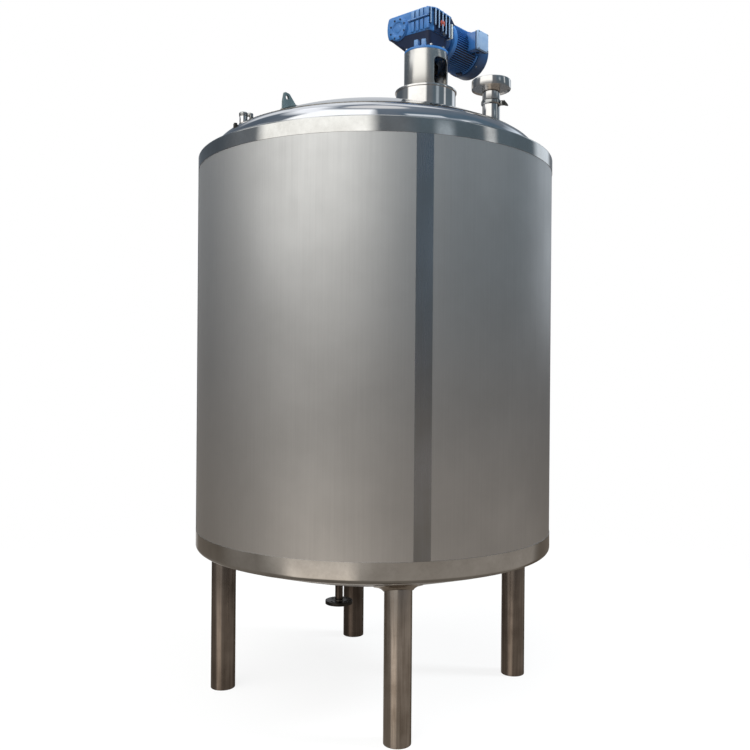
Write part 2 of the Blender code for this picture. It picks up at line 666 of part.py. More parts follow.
def housing_end():
    """Return the housing's outline along the motor: its top falls towards the motor."""
    half = GEAR_LENGTH / 2.0
    low = GEAR_BOTTOM_RIGHT - 0.01
    return [(-half - 0.01, low), (half + 0.01, low), (half + 0.01, GEAR_TOP_FAR), (-half, GEAR_TOP_NEAR),
            (-half - 0.01, GEAR_TOP_NEAR)]


def build_neck(tools):
    """Make the neck that narrows from the housing's base to the round flange."""
    half = GEAR_LENGTH / 2.0 - 0.002
    wide = ((-half, GEAR_RIGHT + 0.010), (half, GEAR_LEFT - 0.002))
    low = GEAR_FLANGE_TOP + GAP
    high = GEAR_BOTTOM_LEFT + 0.006
    shape = bmesh.new()
    for corner in bmesh.ops.create_cube(shape, size=1.0)["verts"]:
        upper = corner.co.z > 0.0
        ends = wide if upper else NECK_LOW
        corner.co = (ends[int(corner.co.x > 0.0)][0], ends[int(corner.co.y > 0.0)][1],
                     high if upper else low)
    mesh = bpy.data.meshes.new("housing_neck")
    shape.to_mesh(mesh)
    shape.free()
    return as_cutter(add_object("housing_neck", mesh, tools))


def build_gearbox(group, tools, frame, paint):
    """Make the gear unit: round flange, tapered neck, housing block and its round cover."""
    flange = [(0.0, GEAR_FLANGE_TOP), (PEDESTAL_RADIUS - 0.002, GEAR_FLANGE_TOP),
              (PEDESTAL_RADIUS, GEAR_FLANGE_TOP - 0.002), (PEDESTAL_RADIUS, PEDESTAL_TOP + GAP),
              (0.0, PEDESTAL_TOP + GAP)]
    turned("gearbox_flange", flange, group, paint["blue"], closed=False, steps=32,
           centre=(DRIVE_X, DRIVE_Y))
    upright = Matrix.Translation((0.0, 0.0, (GEAR_BOTTOM_RIGHT + GEAR_TOP_NEAR) / 2.0))
    along_x = Matrix(((0, 0, 1, 0), (1, 0, 0, 0), (0, 1, 0, 0), (0, 0, 0, 1)))
    along_y = Matrix(((1, 0, 0, 0), (0, 0, 1, 0), (0, 1, 0, 0), (0, 0, 0, 1)))
    block = plate("gearbox_housing", housing_plan(), 0.20, upright, group, paint["blue"])
    trims = [as_cutter(plate("housing_side", housing_side(), GEAR_LENGTH + 0.02, along_x, tools)),
             as_cutter(plate("housing_end", housing_end(), 0.50, along_y, tools))]
    block.parent = frame
    for trim in trims:
        trim.parent = frame
        combine(block, trim, "INTERSECT")
    neck = build_neck(tools)
    neck.parent = frame
    combine(block, neck, "UNION")
    half = GEAR_LENGTH / 2.0
    cover = lying_cylinder("gearbox_cover", COVER_RADIUS, -half - 0.006, -half - GAP, COVER_PLACE[1],
                           group, paint["blue"])
    cover.parent = frame
    cover.location = (0.0, COVER_PLACE[0], 0.0)


def build_motor(group, tools, frame, paint, steel):
    """Make the electric motor: adapter, flange, finned body, fan cowl and terminal box."""
    start = GEAR_LENGTH / 2.0 + GAP
    adapter = lying_cylinder("motor_adapter", ADAPTER_RADIUS, start, FLANGE_START - GAP,
                             MOTOR_HEIGHT + 0.010, group, steel["aluminium"])
    adapter.parent = frame
    flange = lying_cylinder("motor_flange", MOTOR_BODY_RADIUS + 0.002, FLANGE_START, MOTOR_START - GAP,
                            MOTOR_HEIGHT, group, paint["blue"])
    flange.parent = frame
    body = lying_cylinder("motor_body", MOTOR_BODY_RADIUS, MOTOR_START, COWL_START - GAP, MOTOR_HEIGHT,
                          group, paint["blue"])
    body.parent = frame
    cowl = lying_cylinder("motor_fan_cowl", MOTOR_RADIUS, COWL_START, MOTOR_END, MOTOR_HEIGHT, group,
                          paint["blue"])
    cowl.parent = frame
    edge = cowl.modifiers.new("edge", "BEVEL")
    edge.width = 0.010
    edge.segments = 2
    edge.limit_method = "ANGLE"
    case = box("terminal_box", (0.240, -0.168, 3.108), (0.3290, -0.070, 3.204), group, paint["blue"],
               0.008)
    case.parent = frame
    trim = as_cutter(lying_cylinder("motor_trim", MOTOR_BODY_RADIUS + GAP, 0.05, 0.45, MOTOR_HEIGHT,
                                    tools))
    trim.parent = frame
    combine(case, trim, "DIFFERENCE")


def finish_shading(group):
    """Shade every piece smooth, with its sharp corners kept."""
    for item in group.objects:
        if item.type == "MESH" and item.data.polygons:
            item.data.shade_smooth()
            item.data.set_sharp_from_angle(angle=math.radians(35.0))


def main():
    """Build the whole tank."""
    clear_scene()
    group = new_collection("mixing_tank")
    tools = new_collection("cutters")
    steel = {
        "cladding": make_material("brushed_cladding_sheet", (0.46, 0.47, 0.48), 1.0, 0.34),
        "seam": make_material("seam_strip_sheet", (0.36, 0.37, 0.39), 1.0, 0.32),
        "polished": make_material("polished_band_steel", (0.62, 0.62, 0.61), 1.0, 0.12),
        "vessel": make_material("vessel_plate", (0.50, 0.50, 0.50), 1.0, 0.38),
        "head": make_material("polished_head_plate", (0.64, 0.65, 0.66), 1.0, 0.14),
        "leg": make_material("leg_pipe_steel", (0.40, 0.37, 0.34), 1.0, 0.30),
        "flange": make_material("outlet_flange_steel", (0.22, 0.21, 0.21), 1.0, 0.42),
        "lug": make_material("lifting_lug_plate", (0.16, 0.19, 0.19), 1.0, 0.45),
        "fitting": make_material("fitting_steel", (0.48, 0.48, 0.48), 1.0, 0.22),
        "pedestal": make_material("pedestal_tube_steel", (0.55, 0.54, 0.52), 1.0, 0.24),
        "dark": make_material("seal_and_coupling_steel", (0.12, 0.12, 0.12), 1.0, 0.45),
        "shaft": make_material("shaft_steel", (0.50, 0.50, 0.50), 1.0, 0.28),
        "aluminium": make_material("motor_flange_aluminium", (0.70, 0.71, 0.72), 1.0, 0.40),
    }
    paint = {"blue": make_material("blue_gear_motor_paint", (0.05, 0.16, 0.42), 0.0, 0.38)}
    build_wall(group, steel)
    build_vessel(group, tools, steel)
    build_underside(group, tools, steel)
    trim = dome_cutter(tools)
    build_legs(group, tools, steel)
    build_outlet(group, tools, steel)
    build_lugs(group, tools, trim, steel)
    build_small_fittings(group, tools, trim, steel)
    build_vent(group, tools, trim, steel)
    build_pedestal(group, tools, trim, steel)
    build_agitator(group, tools, steel)
    frame = bpy.data.objects.new("gear_motor_frame", None)
    group.objects.link(frame)
    place(frame, (GEAR_X, GEAR_Y), GEAR_TURN)
    build_gearbox(group, tools, frame, paint)
    build_motor(group, tools, frame, paint, steel)
    finish_shading(group)


main()
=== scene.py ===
"""Dresses the insulated stainless steel mixing tank and lights it in a plain studio.

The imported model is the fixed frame: +Z is up, the tank's axis stands at the origin and the side
that faces -Y is the front. Every size is in metres unless its name says otherwise.
"""

from __future__ import annotations

import logging
import math
from dataclasses import dataclass, replace
from enum import Enum
from typing import Any, Iterable, Sequence
import bmesh
import bpy
from bmesh.types import BMesh, BMVert
from bpy.types import Material, Node, NodeSocket, NodeTree, Object
from mathutils import Matrix, Vector


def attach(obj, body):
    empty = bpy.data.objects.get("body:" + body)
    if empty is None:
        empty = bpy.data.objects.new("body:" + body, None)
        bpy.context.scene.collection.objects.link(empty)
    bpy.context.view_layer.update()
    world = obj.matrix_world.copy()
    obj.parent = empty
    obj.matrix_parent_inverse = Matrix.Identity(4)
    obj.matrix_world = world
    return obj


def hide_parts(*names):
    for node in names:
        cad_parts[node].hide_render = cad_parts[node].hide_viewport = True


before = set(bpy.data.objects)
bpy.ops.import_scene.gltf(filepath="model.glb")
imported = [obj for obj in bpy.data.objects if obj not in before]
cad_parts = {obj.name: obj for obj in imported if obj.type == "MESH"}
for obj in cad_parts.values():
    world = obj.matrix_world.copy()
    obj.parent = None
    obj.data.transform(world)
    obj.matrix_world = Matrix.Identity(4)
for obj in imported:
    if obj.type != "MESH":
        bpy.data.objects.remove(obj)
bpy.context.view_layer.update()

log = logging.getLogger("mixing_tank")

Point = tuple[float, float]
Box = tuple[tuple[float, float, float], tuple[float, float, float]]
Colour = tuple[float, float, float, float]

TANK = "tank"
AGITATOR = "agitator"
AXIS: Point = (0.0, 0.0)
DRIVE_CENTRE: Point = (0.243, 0.020)
NOISE_RANGE = (0.3, 0.7)
CLOUD_RANGE = (0.35, 0.75)
WHITE: Colour = (1.0, 1.0, 1.0, 1.0)


class Grain(Enum):
    """The way in which a metal's brushing or drawing lines run."""

    UPRIGHT = "upright"
    ROUND = "round"
    CLOUDY = "cloudy"


class Side(Enum):
    """The quarters of the tank, with their turn in degrees from the first one."""

    FRONT = 0
    RIGHT = 90
    BACK = 180
    LEFT = 270


# Colour and nodes


def linear(code: str) -> Colour:
    """Turn an sRGB hex colour into linear light.

    Args:
        code: The colour as six hex digits, with or without a leading #.

    Returns:
        Red, green, blue and a full alpha.
    """
    text = code.lstrip("#")
    parts = [int(text[i:i + 2], 16) / 255.0 for i in (0, 2, 4)]
    light = [p / 12.92 if p <= 0.04045 else ((p + 0.055) / 1.055) ** 2.4 for p in parts]
    return light[0], light[1], light[2], 1.0


def add_node(
    tree: NodeTree,
    kind: str,
    settings: dict[str | int, Any] | None = None,
    links: dict[str | int, NodeSocket | Node] | None = None,
) -> Node:
    """Add one node to a tree.

    Args:
        tree: The node tree that takes the node.
        kind: The node's type name.
        settings: Values for its properties, or for its inputs by name or number.
        links: What feeds its inputs by name or number: a socket, or a node for its first output.

    Returns:
        The new node.
    """
    node = tree.nodes.new(kind)
    for key, value in (settings or {}).items():
        if isinstance(key, str) and hasattr(node, key):
            setattr(node, key, value)
        else:
            node.inputs[key].default_value = value
    for key, source in (links or {}).items():
        socket = source.outputs[0] if isinstance(source, Node) else source
        tree.links.new(socket, node.inputs[key])
    return node


def new_material(name: str) -> tuple[Material, NodeTree]:
    """Make an empty node material.

    Args:
        name: The material's name.

    Returns:
        The material and its node tree.
    """
    material = bpy.data.materials.new(name)
    material.use_nodes = True
    material.node_tree.nodes.clear()
    return material, material.node_tree


def limits(first: float, last: float, low: float, high: float) -> dict[str | int, Any]:
    """Return the settings that map one range to another.

    Args:
        first: Lower end of the value's range.
        last: Upper end of the value's range.
        low: Result at the lower end.
        high: Result at the upper end.

    Returns:
        The settings, by the names of the inputs.
    """
    return {"From Min": first, "From Max": last, "To Min": low, "To Max": high}


def stretched_noise(tree: NodeTree, across_mm: float, detail: float = 3.0,
                    grain: Grain = Grain.CLOUDY, along_mm: float | None = None) -> Node:
    """Add a noise whose patches are drawn out along the grain.

    Args:
        tree: The material's node tree.
        across_mm: Width of one patch across the grain.
        detail: How many finer layers the noise has.
        grain: The way in which the grain runs.
        along_mm: Length of one patch along the grain, or None where it runs no way.

    Returns:
        The noise, whose first output runs from 0 to 1.
    """
    across, along = 1000.0 / across_mm, 1000.0 / (along_mm or across_mm)
    scale = {
        Grain.UPRIGHT: (across, across, along),
        Grain.ROUND: (along, along, across),
        Grain.CLOUDY: (across, across, across),
    }[grain]
    place = add_node(tree, "ShaderNodeTexCoord")
    spread = add_node(tree, "ShaderNodeMapping", {"Scale": scale},
                      {"Vector": place.outputs["Object"]})
    return add_node(tree, "ShaderNodeTexNoise", {"Scale": 1.0, "Detail": detail, "Roughness": 0.55},
                    {"Vector": spread})


# Finishes


@dataclass(frozen=True)
class SteelFinish:
    """A stainless steel surface, from mirror polish to satin brushing.

    The grain is drawn coarser than the real abrasive lines, which are about 0.1 mm apart, so that
    it still shows at this distance.
    """

    name: str
    colour: str
    smudge: str
    roughness: float
    uneven: float
    across_mm: float
    deep_mm: float
    streak: float
    cloud_mm: float
    grain: Grain = Grain.CLOUDY
    along_mm: float | None = None
    dent_mm: float = 0.0
    dent_size_mm: float = 300.0
    anisotropic: float = 0.0

    def build(self) -> Material:
        """Make the finish's material."""
        material, tree = new_material(self.name)
        lines = stretched_noise(tree, self.across_mm, grain=self.grain, along_mm=self.along_mm)
        cloud = stretched_noise(tree, self.cloud_mm, 4.0)
        tone = add_node(tree, "ShaderNodeMath", {"operation": "MULTIPLY_ADD", 1: self.streak},
                        {0: lines, 2: cloud})
        first, last = (end + self.streak * 0.5 for end in CLOUD_RANGE)
        share = add_node(tree, "ShaderNodeMapRange", limits(first, last, 0.0, 1.0), {"Value": tone})
        colour = add_node(tree, "ShaderNodeMix", {"data_type": "RGBA", 6: linear(self.colour),
                                                  7: linear(self.smudge)}, {0: share})
        fine = add_node(tree, "ShaderNodeMapRange", limits(*NOISE_RANGE, -self.uneven, self.uneven),
                        {"Value": lines})
        broad = add_node(tree, "ShaderNodeMapRange",
                         limits(*NOISE_RANGE, self.roughness - self.uneven,
                                self.roughness + self.uneven), {"Value": cloud})
        rough = add_node(tree, "ShaderNodeMath", {"operation": "ADD"}, {0: fine, 1: broad})
        links = {"Base Color": colour.outputs[2], "Roughness": rough}
        if self.anisotropic > 0.0:
            place = add_node(tree, "ShaderNodeTexCoord")
            links["Tangent"] = add_node(
                tree, "ShaderNodeVectorMath", {"operation": "CROSS_PRODUCT", 1: (0.0, 0.0, -1.0)},
                {0: place.outputs["Object"]})
        normal = add_node(tree, "ShaderNodeBump",
                          {"Strength": 1.0, "Distance": self.deep_mm / 1000.0}, {"Height": lines})
        if self.dent_mm > 0.0:
            size = self.dent_size_mm
            dents = stretched_noise(tree, size, 1.0, Grain.UPRIGHT, size * 2.5)
            normal = add_node(tree, "ShaderNodeBump",
                              {"Strength": 1.0, "Distance": self.dent_mm / 1000.0},
                              {"Height": dents, "Normal": normal})
        shader = add_node(tree, "ShaderNodeBsdfPrincipled",
                          {"Metallic": 1.0, "Anisotropic": self.anisotropic},
                          {**links, "Normal": normal})
        add_node(tree, "ShaderNodeOutputMaterial", None, {"Surface": shader})
        return material


@dataclass(frozen=True)
class EnamelFinish:
    """Semi-gloss enamel sprayed over a casting: even colour with a faint cast grain below it."""

    name: str
    colour: str
    thin: str
    roughness: float
    cast_mm: float = 3.0
    cast_deep_mm: float = 0.12
    coat: float = 0.35
    cloud_mm: float = 60.0

    def build(self) -> Material:
        """Make the finish's material."""
        material, tree = new_material(self.name)
        skin = stretched_noise(tree, self.cast_mm, 2.0)
        cloud = stretched_noise(tree, self.cloud_mm, 4.0)
        share = add_node(tree, "ShaderNodeMapRange", limits(*CLOUD_RANGE, 0.0, 1.0),
                         {"Value": cloud})
        colour = add_node(tree, "ShaderNodeMix", {"data_type": "RGBA", 6: linear(self.colour),
                                                  7: linear(self.thin)}, {0: share})
        rough = add_node(tree, "ShaderNodeMapRange",
                         limits(*NOISE_RANGE, self.roughness - 0.06, self.roughness + 0.08),
                         {"Value": cloud})
        bump = add_node(tree, "ShaderNodeBump",
                        {"Strength": 0.5, "Distance": self.cast_deep_mm / 1000.0}, {"Height": skin})
        shader = add_node(tree, "ShaderNodeBsdfPrincipled",
                          {"Metallic": 0.0, "IOR": 1.5, "Coat Weight": self.coat,
                           "Coat Roughness": 0.12},
                          {"Base Color": colour.outputs[2], "Roughness": rough, "Normal": bump})
        add_node(tree, "ShaderNodeOutputMaterial", None, {"Surface": shader})
        return material


@dataclass(frozen=True)
class FloorFinish:
    """A pale matt studio floor that fades out away from the tank."""

    name: str = "pale_studio_floor"
    colour: str = "#F4F4F3"
    speck: str = "#D8D8D6"
    speck_mm: float = 8.0
    full_to: float = 1.7
    gone_by: float = 4.6
    glow: float = 0.86

    def build(self) -> Material:
        """Make the floor's material."""
        material, tree = new_material(self.name)
        place = add_node(tree, "ShaderNodeTexCoord")
        reach = add_node(tree, "ShaderNodeVectorMath", {"operation": "LENGTH"},
                         {0: place.outputs["Object"]})
        fade = add_node(tree, "ShaderNodeMapRange",
                        {"interpolation_type": "SMOOTHERSTEP",
                         **limits(self.full_to, self.gone_by, 0.0, 1.0)},
                        {"Value": reach.outputs["Value"]})
        speck = stretched_noise(tree, self.speck_mm, 2.0)
        share = add_node(tree, "ShaderNodeMapRange", limits(*NOISE_RANGE, 0.0, 0.05),
                         {"Value": speck})
        colour = add_node(tree, "ShaderNodeMix", {"data_type": "RGBA", 6: linear(self.colour),
                                                  7: linear(self.speck)}, {0: share})
        matt = add_node(tree, "ShaderNodeBsdfDiffuse", {"Roughness": 0.8},
                        {"Color": colour.outputs[2]})
        glow = add_node(tree, "ShaderNodeEmission", {"Strength": 1.0, "Color": WHITE})
        pale = add_node(tree, "ShaderNodeMixShader", {0: self.glow}, {1: matt, 2: glow})
        clear = add_node(tree, "ShaderNodeBsdfTransparent")
        blend = add_node(tree, "ShaderNodeMixShader", None, {0: fade, 1: pale, 2: clear})
        path = add_node(tree, "ShaderNodeLightPath")
        seen = add_node(tree, "ShaderNodeMixShader", None, {0: path, 1: clear, 2: blend})
        add_node(tree, "ShaderNodeOutputMaterial", None, {"Surface": seen})
        return material


class Finishes:
    """The tank's materials, built once and shared."""

    def __init__(self) -> None:
        """Build every finish."""
        # Satin cladding: cold rolled stainless sheet with a fine upright brushing. It gives the
        # broad soft sheen that runs up the whole wall, with slight oil-canning.
        self.cladding = SteelFinish(
            "brushed_stainless_cladding", "#CFCECC", "#C3C2C0", roughness=0.385, uneven=0.02,
            grain=Grain.UPRIGHT, across_mm=6.0, along_mm=520.0, deep_mm=0.006, streak=0.3,
            cloud_mm=330.0, dent_mm=0.4, dent_size_mm=420.0, anisotropic=0.8).build()
        # Seam strip: the same sheet with the brushing left as rolled, so it reads darker.
        self.seam = SteelFinish(
            "rolled_stainless_seam_strip", "#A3A6AB", "#989897", roughness=0.28, uneven=0.01,
            grain=Grain.UPRIGHT, across_mm=4.0, along_mm=600.0, deep_mm=0.008, streak=0.4,
            cloud_mm=260.0).build()
        # Polished bands: buffed to a near mirror, which gives hard reflections along the edges.
        self.polished = SteelFinish(
            "buffed_stainless_band", "#C9C8C5", "#B4B2AE", roughness=0.085, uneven=0.025,
            across_mm=14.0, deep_mm=0.004, streak=0.2, cloud_mm=120.0, dent_mm=0.25,
            dent_size_mm=160.0).build()
        # Dished head: buffed plate with the faint waves of its pressing.
        self.head = SteelFinish(
            "buffed_stainless_head", "#D2D2D4", "#C4C4C7", roughness=0.055, uneven=0.02,
            across_mm=20.0, deep_mm=0.004, streak=0.2, cloud_mm=200.0, dent_mm=0.4,
            dent_size_mm=260.0).build()
        # Vessel plate inside: plain mill finish, grey and soft.
        self.vessel = SteelFinish(
            "mill_finish_vessel_plate", "#A2A3A3", "#8E8F8F", roughness=0.36, uneven=0.05,
            across_mm=12.0, deep_mm=0.02, streak=0.3, cloud_mm=220.0).build()
        # Leg pipe: drawn stainless pipe with a satin skin and faint brown heat and dirt streaks.
        pipe = SteelFinish(
            "drawn_stainless_leg_pipe", "#B8B0A8", "#958B81", roughness=0.20, uneven=0.05,
            grain=Grain.UPRIGHT, across_mm=9.0, along_mm=260.0, deep_mm=0.03, streak=0.8,
            cloud_mm=140.0)
        self.leg = pipe.build()
        # Legs at the sides: the same pipe, a step darker and duller.
        self.side_leg = replace(pipe, name="dull_stainless_leg_pipe", colour="#8F867E",
                                smudge="#716860", roughness=0.22).build()
        # Back leg and outlet pipe: the same pipe painted darker, as painted shade for the shade
        # under the tank.
        self.painted_shade_pipe = replace(pipe, name="stainless_pipe_painted_shade", colour="#5F5751",
                                 smudge="#48403A", roughness=0.28, cloud_mm=120.0).build()
        # Outlet flange: turned stainless, painted near black as painted shade for its place under
        # the tank.
        self.flange = SteelFinish(
            "turned_stainless_flange_painted_shade", "#403D3A", "#32302D", roughness=0.34, uneven=0.06,
            grain=Grain.ROUND, across_mm=1.5, along_mm=60.0, deep_mm=0.03, streak=0.4,
            cloud_mm=40.0).build()
        # Lifting lugs: hot rolled plate left with its dull mill skin, matt and a little green.
        self.lug = EnamelFinish(
            "mill_skin_stainless_lug", "#66797D", "#4F5F63", roughness=0.52, cast_mm=5.0,
            cast_deep_mm=0.05, coat=0.0).build()
        # Edges that face the glare: buffed to a mirror, with nothing to dull them.
        self.mirror = SteelFinish(
            "mirror_polished_stainless", "#D6D3D0", "#C6C3C0", roughness=0.06, uneven=0.02,
            across_mm=16.0, deep_mm=0.002, streak=0.2, cloud_mm=90.0).build()
        # Leg collars: spun from thin sheet, buffed, and brown from heat and dirt.
        self.collar = SteelFinish(
            "spun_stainless_collar", "#C4BBB0", "#AEA397", roughness=0.16, uneven=0.04,
            across_mm=9.0, deep_mm=0.004, streak=0.4, cloud_mm=50.0).build()
        # Fittings: cast and tumbled stainless, bright with soft edges.
        self.fitting = SteelFinish(
            "tumbled_stainless_fitting", "#AFAFAD", "#959593", roughness=0.17, uneven=0.04,
            grain=Grain.ROUND, across_mm=3.0, along_mm=40.0, deep_mm=0.01, streak=0.3,
            cloud_mm=50.0).build()
        # Pedestal: turned and satin finished tube, with fine rings that spread the sheen.
        self.pedestal = SteelFinish(
            "satin_stainless_pedestal", "#D2CFCA", "#CAC7C2", roughness=0.24, uneven=0.012,
            grain=Grain.ROUND, across_mm=2.0, along_mm=90.0, deep_mm=0.004, streak=0.1,
            cloud_mm=160.0).build()
        # Seal and coupling: oiled dark steel that stays in the shade of the pedestal.
        self.dark = SteelFinish(
            "oiled_dark_steel", "#444442", "#363634", roughness=0.36, uneven=0.06,
            grain=Grain.ROUND, across_mm=1.5, along_mm=40.0, deep_mm=0.02, streak=0.4,
            cloud_mm=30.0).build()
        # Shaft and impeller: ground bar and plate.
        self.shaft = SteelFinish(
            "ground_stainless_shaft", "#A8A9A9", "#979898", roughness=0.20, uneven=0.04,
            grain=Grain.ROUND, across_mm=1.5, along_mm=60.0, deep_mm=0.008, streak=0.3,
            cloud_mm=60.0).build()
        # Ring between gear unit and motor: bare machined aluminium, pale and a little milky.
        self.aluminium = SteelFinish(
            "machined_aluminium_flange", "#CFD2D4", "#BFC3C6", roughness=0.32, uneven=0.05,
            across_mm=3.0, deep_mm=0.02, streak=0.3, cloud_mm=40.0).build()
        # Square plate behind that ring: the same metal, left as cast and chalked white.
        self.chalked = EnamelFinish(
            "chalked_cast_aluminium", "#DCE6E6", "#CBD7D8", roughness=0.5, cast_mm=2.0,
            cast_deep_mm=0.05, coat=0.2).build()
        # Bolts: zinc plated steel.
        self.zinc = SteelFinish(
            "zinc_plated_bolt", "#B8BBBD", "#A2A5A7", roughness=0.26, uneven=0.05, across_mm=2.0,
            deep_mm=0.01, streak=0.3, cloud_mm=20.0).build()
        # Weld beads: cleaned weld metal, rippled and a shade duller than the plate.
        self.weld = SteelFinish(
            "cleaned_stainless_weld", "#98958F", "#7D786F", roughness=0.30, uneven=0.07,
            across_mm=4.0, deep_mm=0.12, streak=0.5, cloud_mm=16.0).build()
        # Gear motor paint: blue enamel sprayed over iron and aluminium castings.
        self.blue = EnamelFinish(
            "blue_sprayed_enamel", "#4080C6", "#3672B6", roughness=0.34).build()
        # Painted shade: the same enamel painted dark navy for the parts in shade, under the gear
        # unit, between the fins and under the motor.
        self.painted_shade_blue = EnamelFinish(
            "blue_enamel_painted_shade", "#152848", "#11213D", roughness=0.5, cast_mm=2.0,
            cast_deep_mm=0.15, coat=0.1).build()
        # Painted highlight: the same enamel painted pale for the lit outer edges of the fins and
        # the sunlit terminal box lid.
        self.painted_highlight_blue = EnamelFinish(
            "blue_enamel_painted_highlight", "#9DBBDD", "#86A9D2", roughness=0.38, cast_mm=2.0,
            cast_deep_mm=0.05, coat=0.3).build()
        # Upper ribs and flange webs: the enamel painted a step lighter than the rest, as painted
        # light where they catch more light.
        self.painted_light_blue = EnamelFinish(
            "bleached_blue_enamel", "#6F9BD0", "#5B8AC4", roughness=0.34).build()
        # Fan cowl and rib gaps: the enamel painted a step darker, as painted shade.
        self.painted_half_shade_blue = EnamelFinish(
            "dusty_blue_enamel", "#25507F", "#1E4571", roughness=0.36, cast_mm=2.0,
            cast_deep_mm=0.04, coat=0.3).build()
        # Terminal box: the same enamel on smooth pressed sheet, glossier than on the castings.
        self.box_blue = EnamelFinish(
            "blue_enamel_on_sheet", "#3A72B4", "#336AAA", roughness=0.24, cast_mm=2.0,
            cast_deep_mm=0.03, coat=0.5).build()
        # Breather plug: moulded red plastic cap.
        self.red = EnamelFinish(
            "moulded_red_plastic", "#BC5C50", "#A84F44", roughness=0.4, cast_mm=1.0,
            cast_deep_mm=0.02, coat=0.2).build()
        # Seals and gaskets: moulded black rubber.
        self.rubber = EnamelFinish(
            "moulded_black_rubber", "#1E1F20", "#282A2B", roughness=0.62, cast_mm=1.2,
            cast_deep_mm=0.03, coat=0.0).build()


# Mesh tools


def rounded_corners(points: Sequence[Point], radius: float, count: int = 3,
                    closed: bool = True) -> list[Point]:
    """Round each corner of a profile.

    Args:
        points: The profile's corners.
        radius: Radius of the rounding, less where an edge is short.
        count: Number of chords in each rounding.
        closed: Whether the last point joins the first one.

    Returns:
        The rounded profile's points.
    """
    result: list[Point] = []
    total = len(points)
    for index, corner in enumerate(points):
        if not closed and index in (0, total - 1):
            result.append(corner)
            continue
        here = Vector(corner)
        back = Vector(points[index - 1]) - here
        ahead = Vector(points[(index + 1) % total]) - here
        if back.length < 1e-7 or ahead.length < 1e-7:
            continue
        turn = back.angle(ahead)
        if turn > math.radians(172.0):
            result.append(corner)
            continue
        reach = min(radius / math.tan(turn / 2.0), back.length * 0.45, ahead.length * 0.45)
        start, end = here + back.normalized() * reach, here + ahead.normalized() * reach
        for step in range(count + 1):
            share = step / count
            point = start.lerp(here, share).lerp(here.lerp(end, share), share)
            result.append((point.x, point.y))
    return result


def arc_points(centre: Point, radius: float, start: float, end: float, count: int) -> list[Point]:
    """Return points on an arc of a profile.

    Args:
        centre: The arc's centre.
        radius: The arc's radius.
        start: First angle in degrees, from the outward direction.
        end: Last angle in degrees.
        count: Number of chords.

    Returns:
        The points from start to end.
    """
    steps = [math.radians(start + (end - start) * i / count) for i in range(count + 1)]
    return [(centre[0] + radius * math.cos(a), centre[1] + radius * math.sin(a)) for a in steps]


def polar(radius: float, direction: float, centre: Point = AXIS) -> Point:
    """Return the plan position at a distance from a centre.

    Args:
        radius: The distance.
        direction: Where it lies, in degrees round from the front to the right.
        centre: Plan position of the centre.

    Returns:
        The place along x and y.
    """
    angle = math.radians(direction)
    return centre[0] + radius * math.sin(angle), centre[1] - radius * math.cos(angle)


def shifted(x: float, y: float, z: float) -> Matrix:
    """Return a move along x, y and z."""
    return Matrix.Translation((x, y, z))


def turned(degrees: float, axis: str = "Z") -> Matrix:
    """Return a turn about one of the axes, in degrees."""
    return Matrix.Rotation(math.radians(degrees), 4, axis)


LAID_BACK = turned(-90.0, "X")
LAID_FORWARD = turned(90.0, "X")
LAID_RIGHT = turned(90.0, "Y")
LAID_LEFT = turned(-90.0, "Y")
UPSIDE_DOWN = turned(180.0, "X")


def loft(shape: BMesh, rings: Sequence[list[BMVert]], closed: bool = False) -> None:
    """Span faces from each ring of corners to the next.

    Args:
        shape: The mesh that takes the faces.
        rings: The rings, which all have the same number of corners.
        closed: Whether the last ring joins the first one. If not, both end rings are filled.
    """
    ends = [(rings[-1], rings[0])] if closed else []
    for first, second in [*zip(rings, rings[1:]), *ends]:
        for index, corner in enumerate(first):
            after = (index + 1) % len(first)
            shape.faces.new((corner, first[after], second[after], second[index]))
    if not closed:
        shape.faces.new(rings[0][::-1])
        shape.faces.new(rings[-1])


def spin(shape: BMesh, profile: Sequence[Point], centre: Point = AXIS, steps: int = 64,
         start: float = 0.0, sweep: float = 360.0, closed: bool = True,
         matrix: Matrix | None = None) -> None:
    """Turn a profile round an upright axis and add the result to a mesh.

    Args:
        shape: The mesh that takes the faces.
        profile: Radius and height of each corner.
        centre: Plan position of the axis.
        steps: Number of sides over the sweep.
        start: Direction of the first side, in degrees round from the front.
        sweep: Angle of the turn in degrees.
        closed: Whether the profile's last corner joins its first one.
        matrix: Where the result goes, or None to leave it.
    """
    full = abs(sweep) >= 359.999
    rings = [[shape.verts.new((*polar(radius, start + sweep * index / steps, centre), height))
              for radius, height in profile] for index in range(steps if full else steps + 1)]
    if closed:
        loft(shape, rings, full)
    else:
        for first, second in zip(rings, rings[1:] + rings[:1] if full else rings[1:]):
            for i in range(len(profile) - 1):
                shape.faces.new((first[i], second[i], second[i + 1], first[i + 1]))
    verts = [v for ring in rings for v in ring]
    bmesh.ops.remove_doubles(shape, verts=verts, dist=1e-6)
    if matrix is not None:
        bmesh.ops.transform(shape, matrix=matrix, verts=[v for v in verts if v.is_valid])


def add_box(shape: BMesh, low: Sequence[float], high: Sequence[float], bevel: float,
            segments: int = 2, matrix: Matrix | None = None) -> None:
    """Add a box with rounded edges to a mesh.

    Args:
        shape: The mesh that takes the box.
        low: Its lowest corner.
        high: Its highest corner.
        bevel: Radius of the edges.
        segments: Number of faces in each rounded edge.
        matrix: Where the box goes, or None to leave it.
    """
    size, middle = Vector(high) - Vector(low), (Vector(high) + Vector(low)) / 2.0
    place = Matrix.Translation(middle) @ Matrix.Diagonal((*size, 1.0))
    made = bmesh.ops.create_cube(shape, size=1.0, matrix=place)["verts"]
    edges = list({e for v in made for e in v.link_edges})
    result = bmesh.ops.bevel(shape, geom=edges, offset=bevel, segments=segments, profile=0.5,
                             affect="EDGES", clamp_overlap=True)
    if matrix is not None:
        made = list({v for f in result["faces"] for v in f.verts} | {v for v in made if v.is_valid})
        bmesh.ops.transform(shape, matrix=matrix, verts=made)


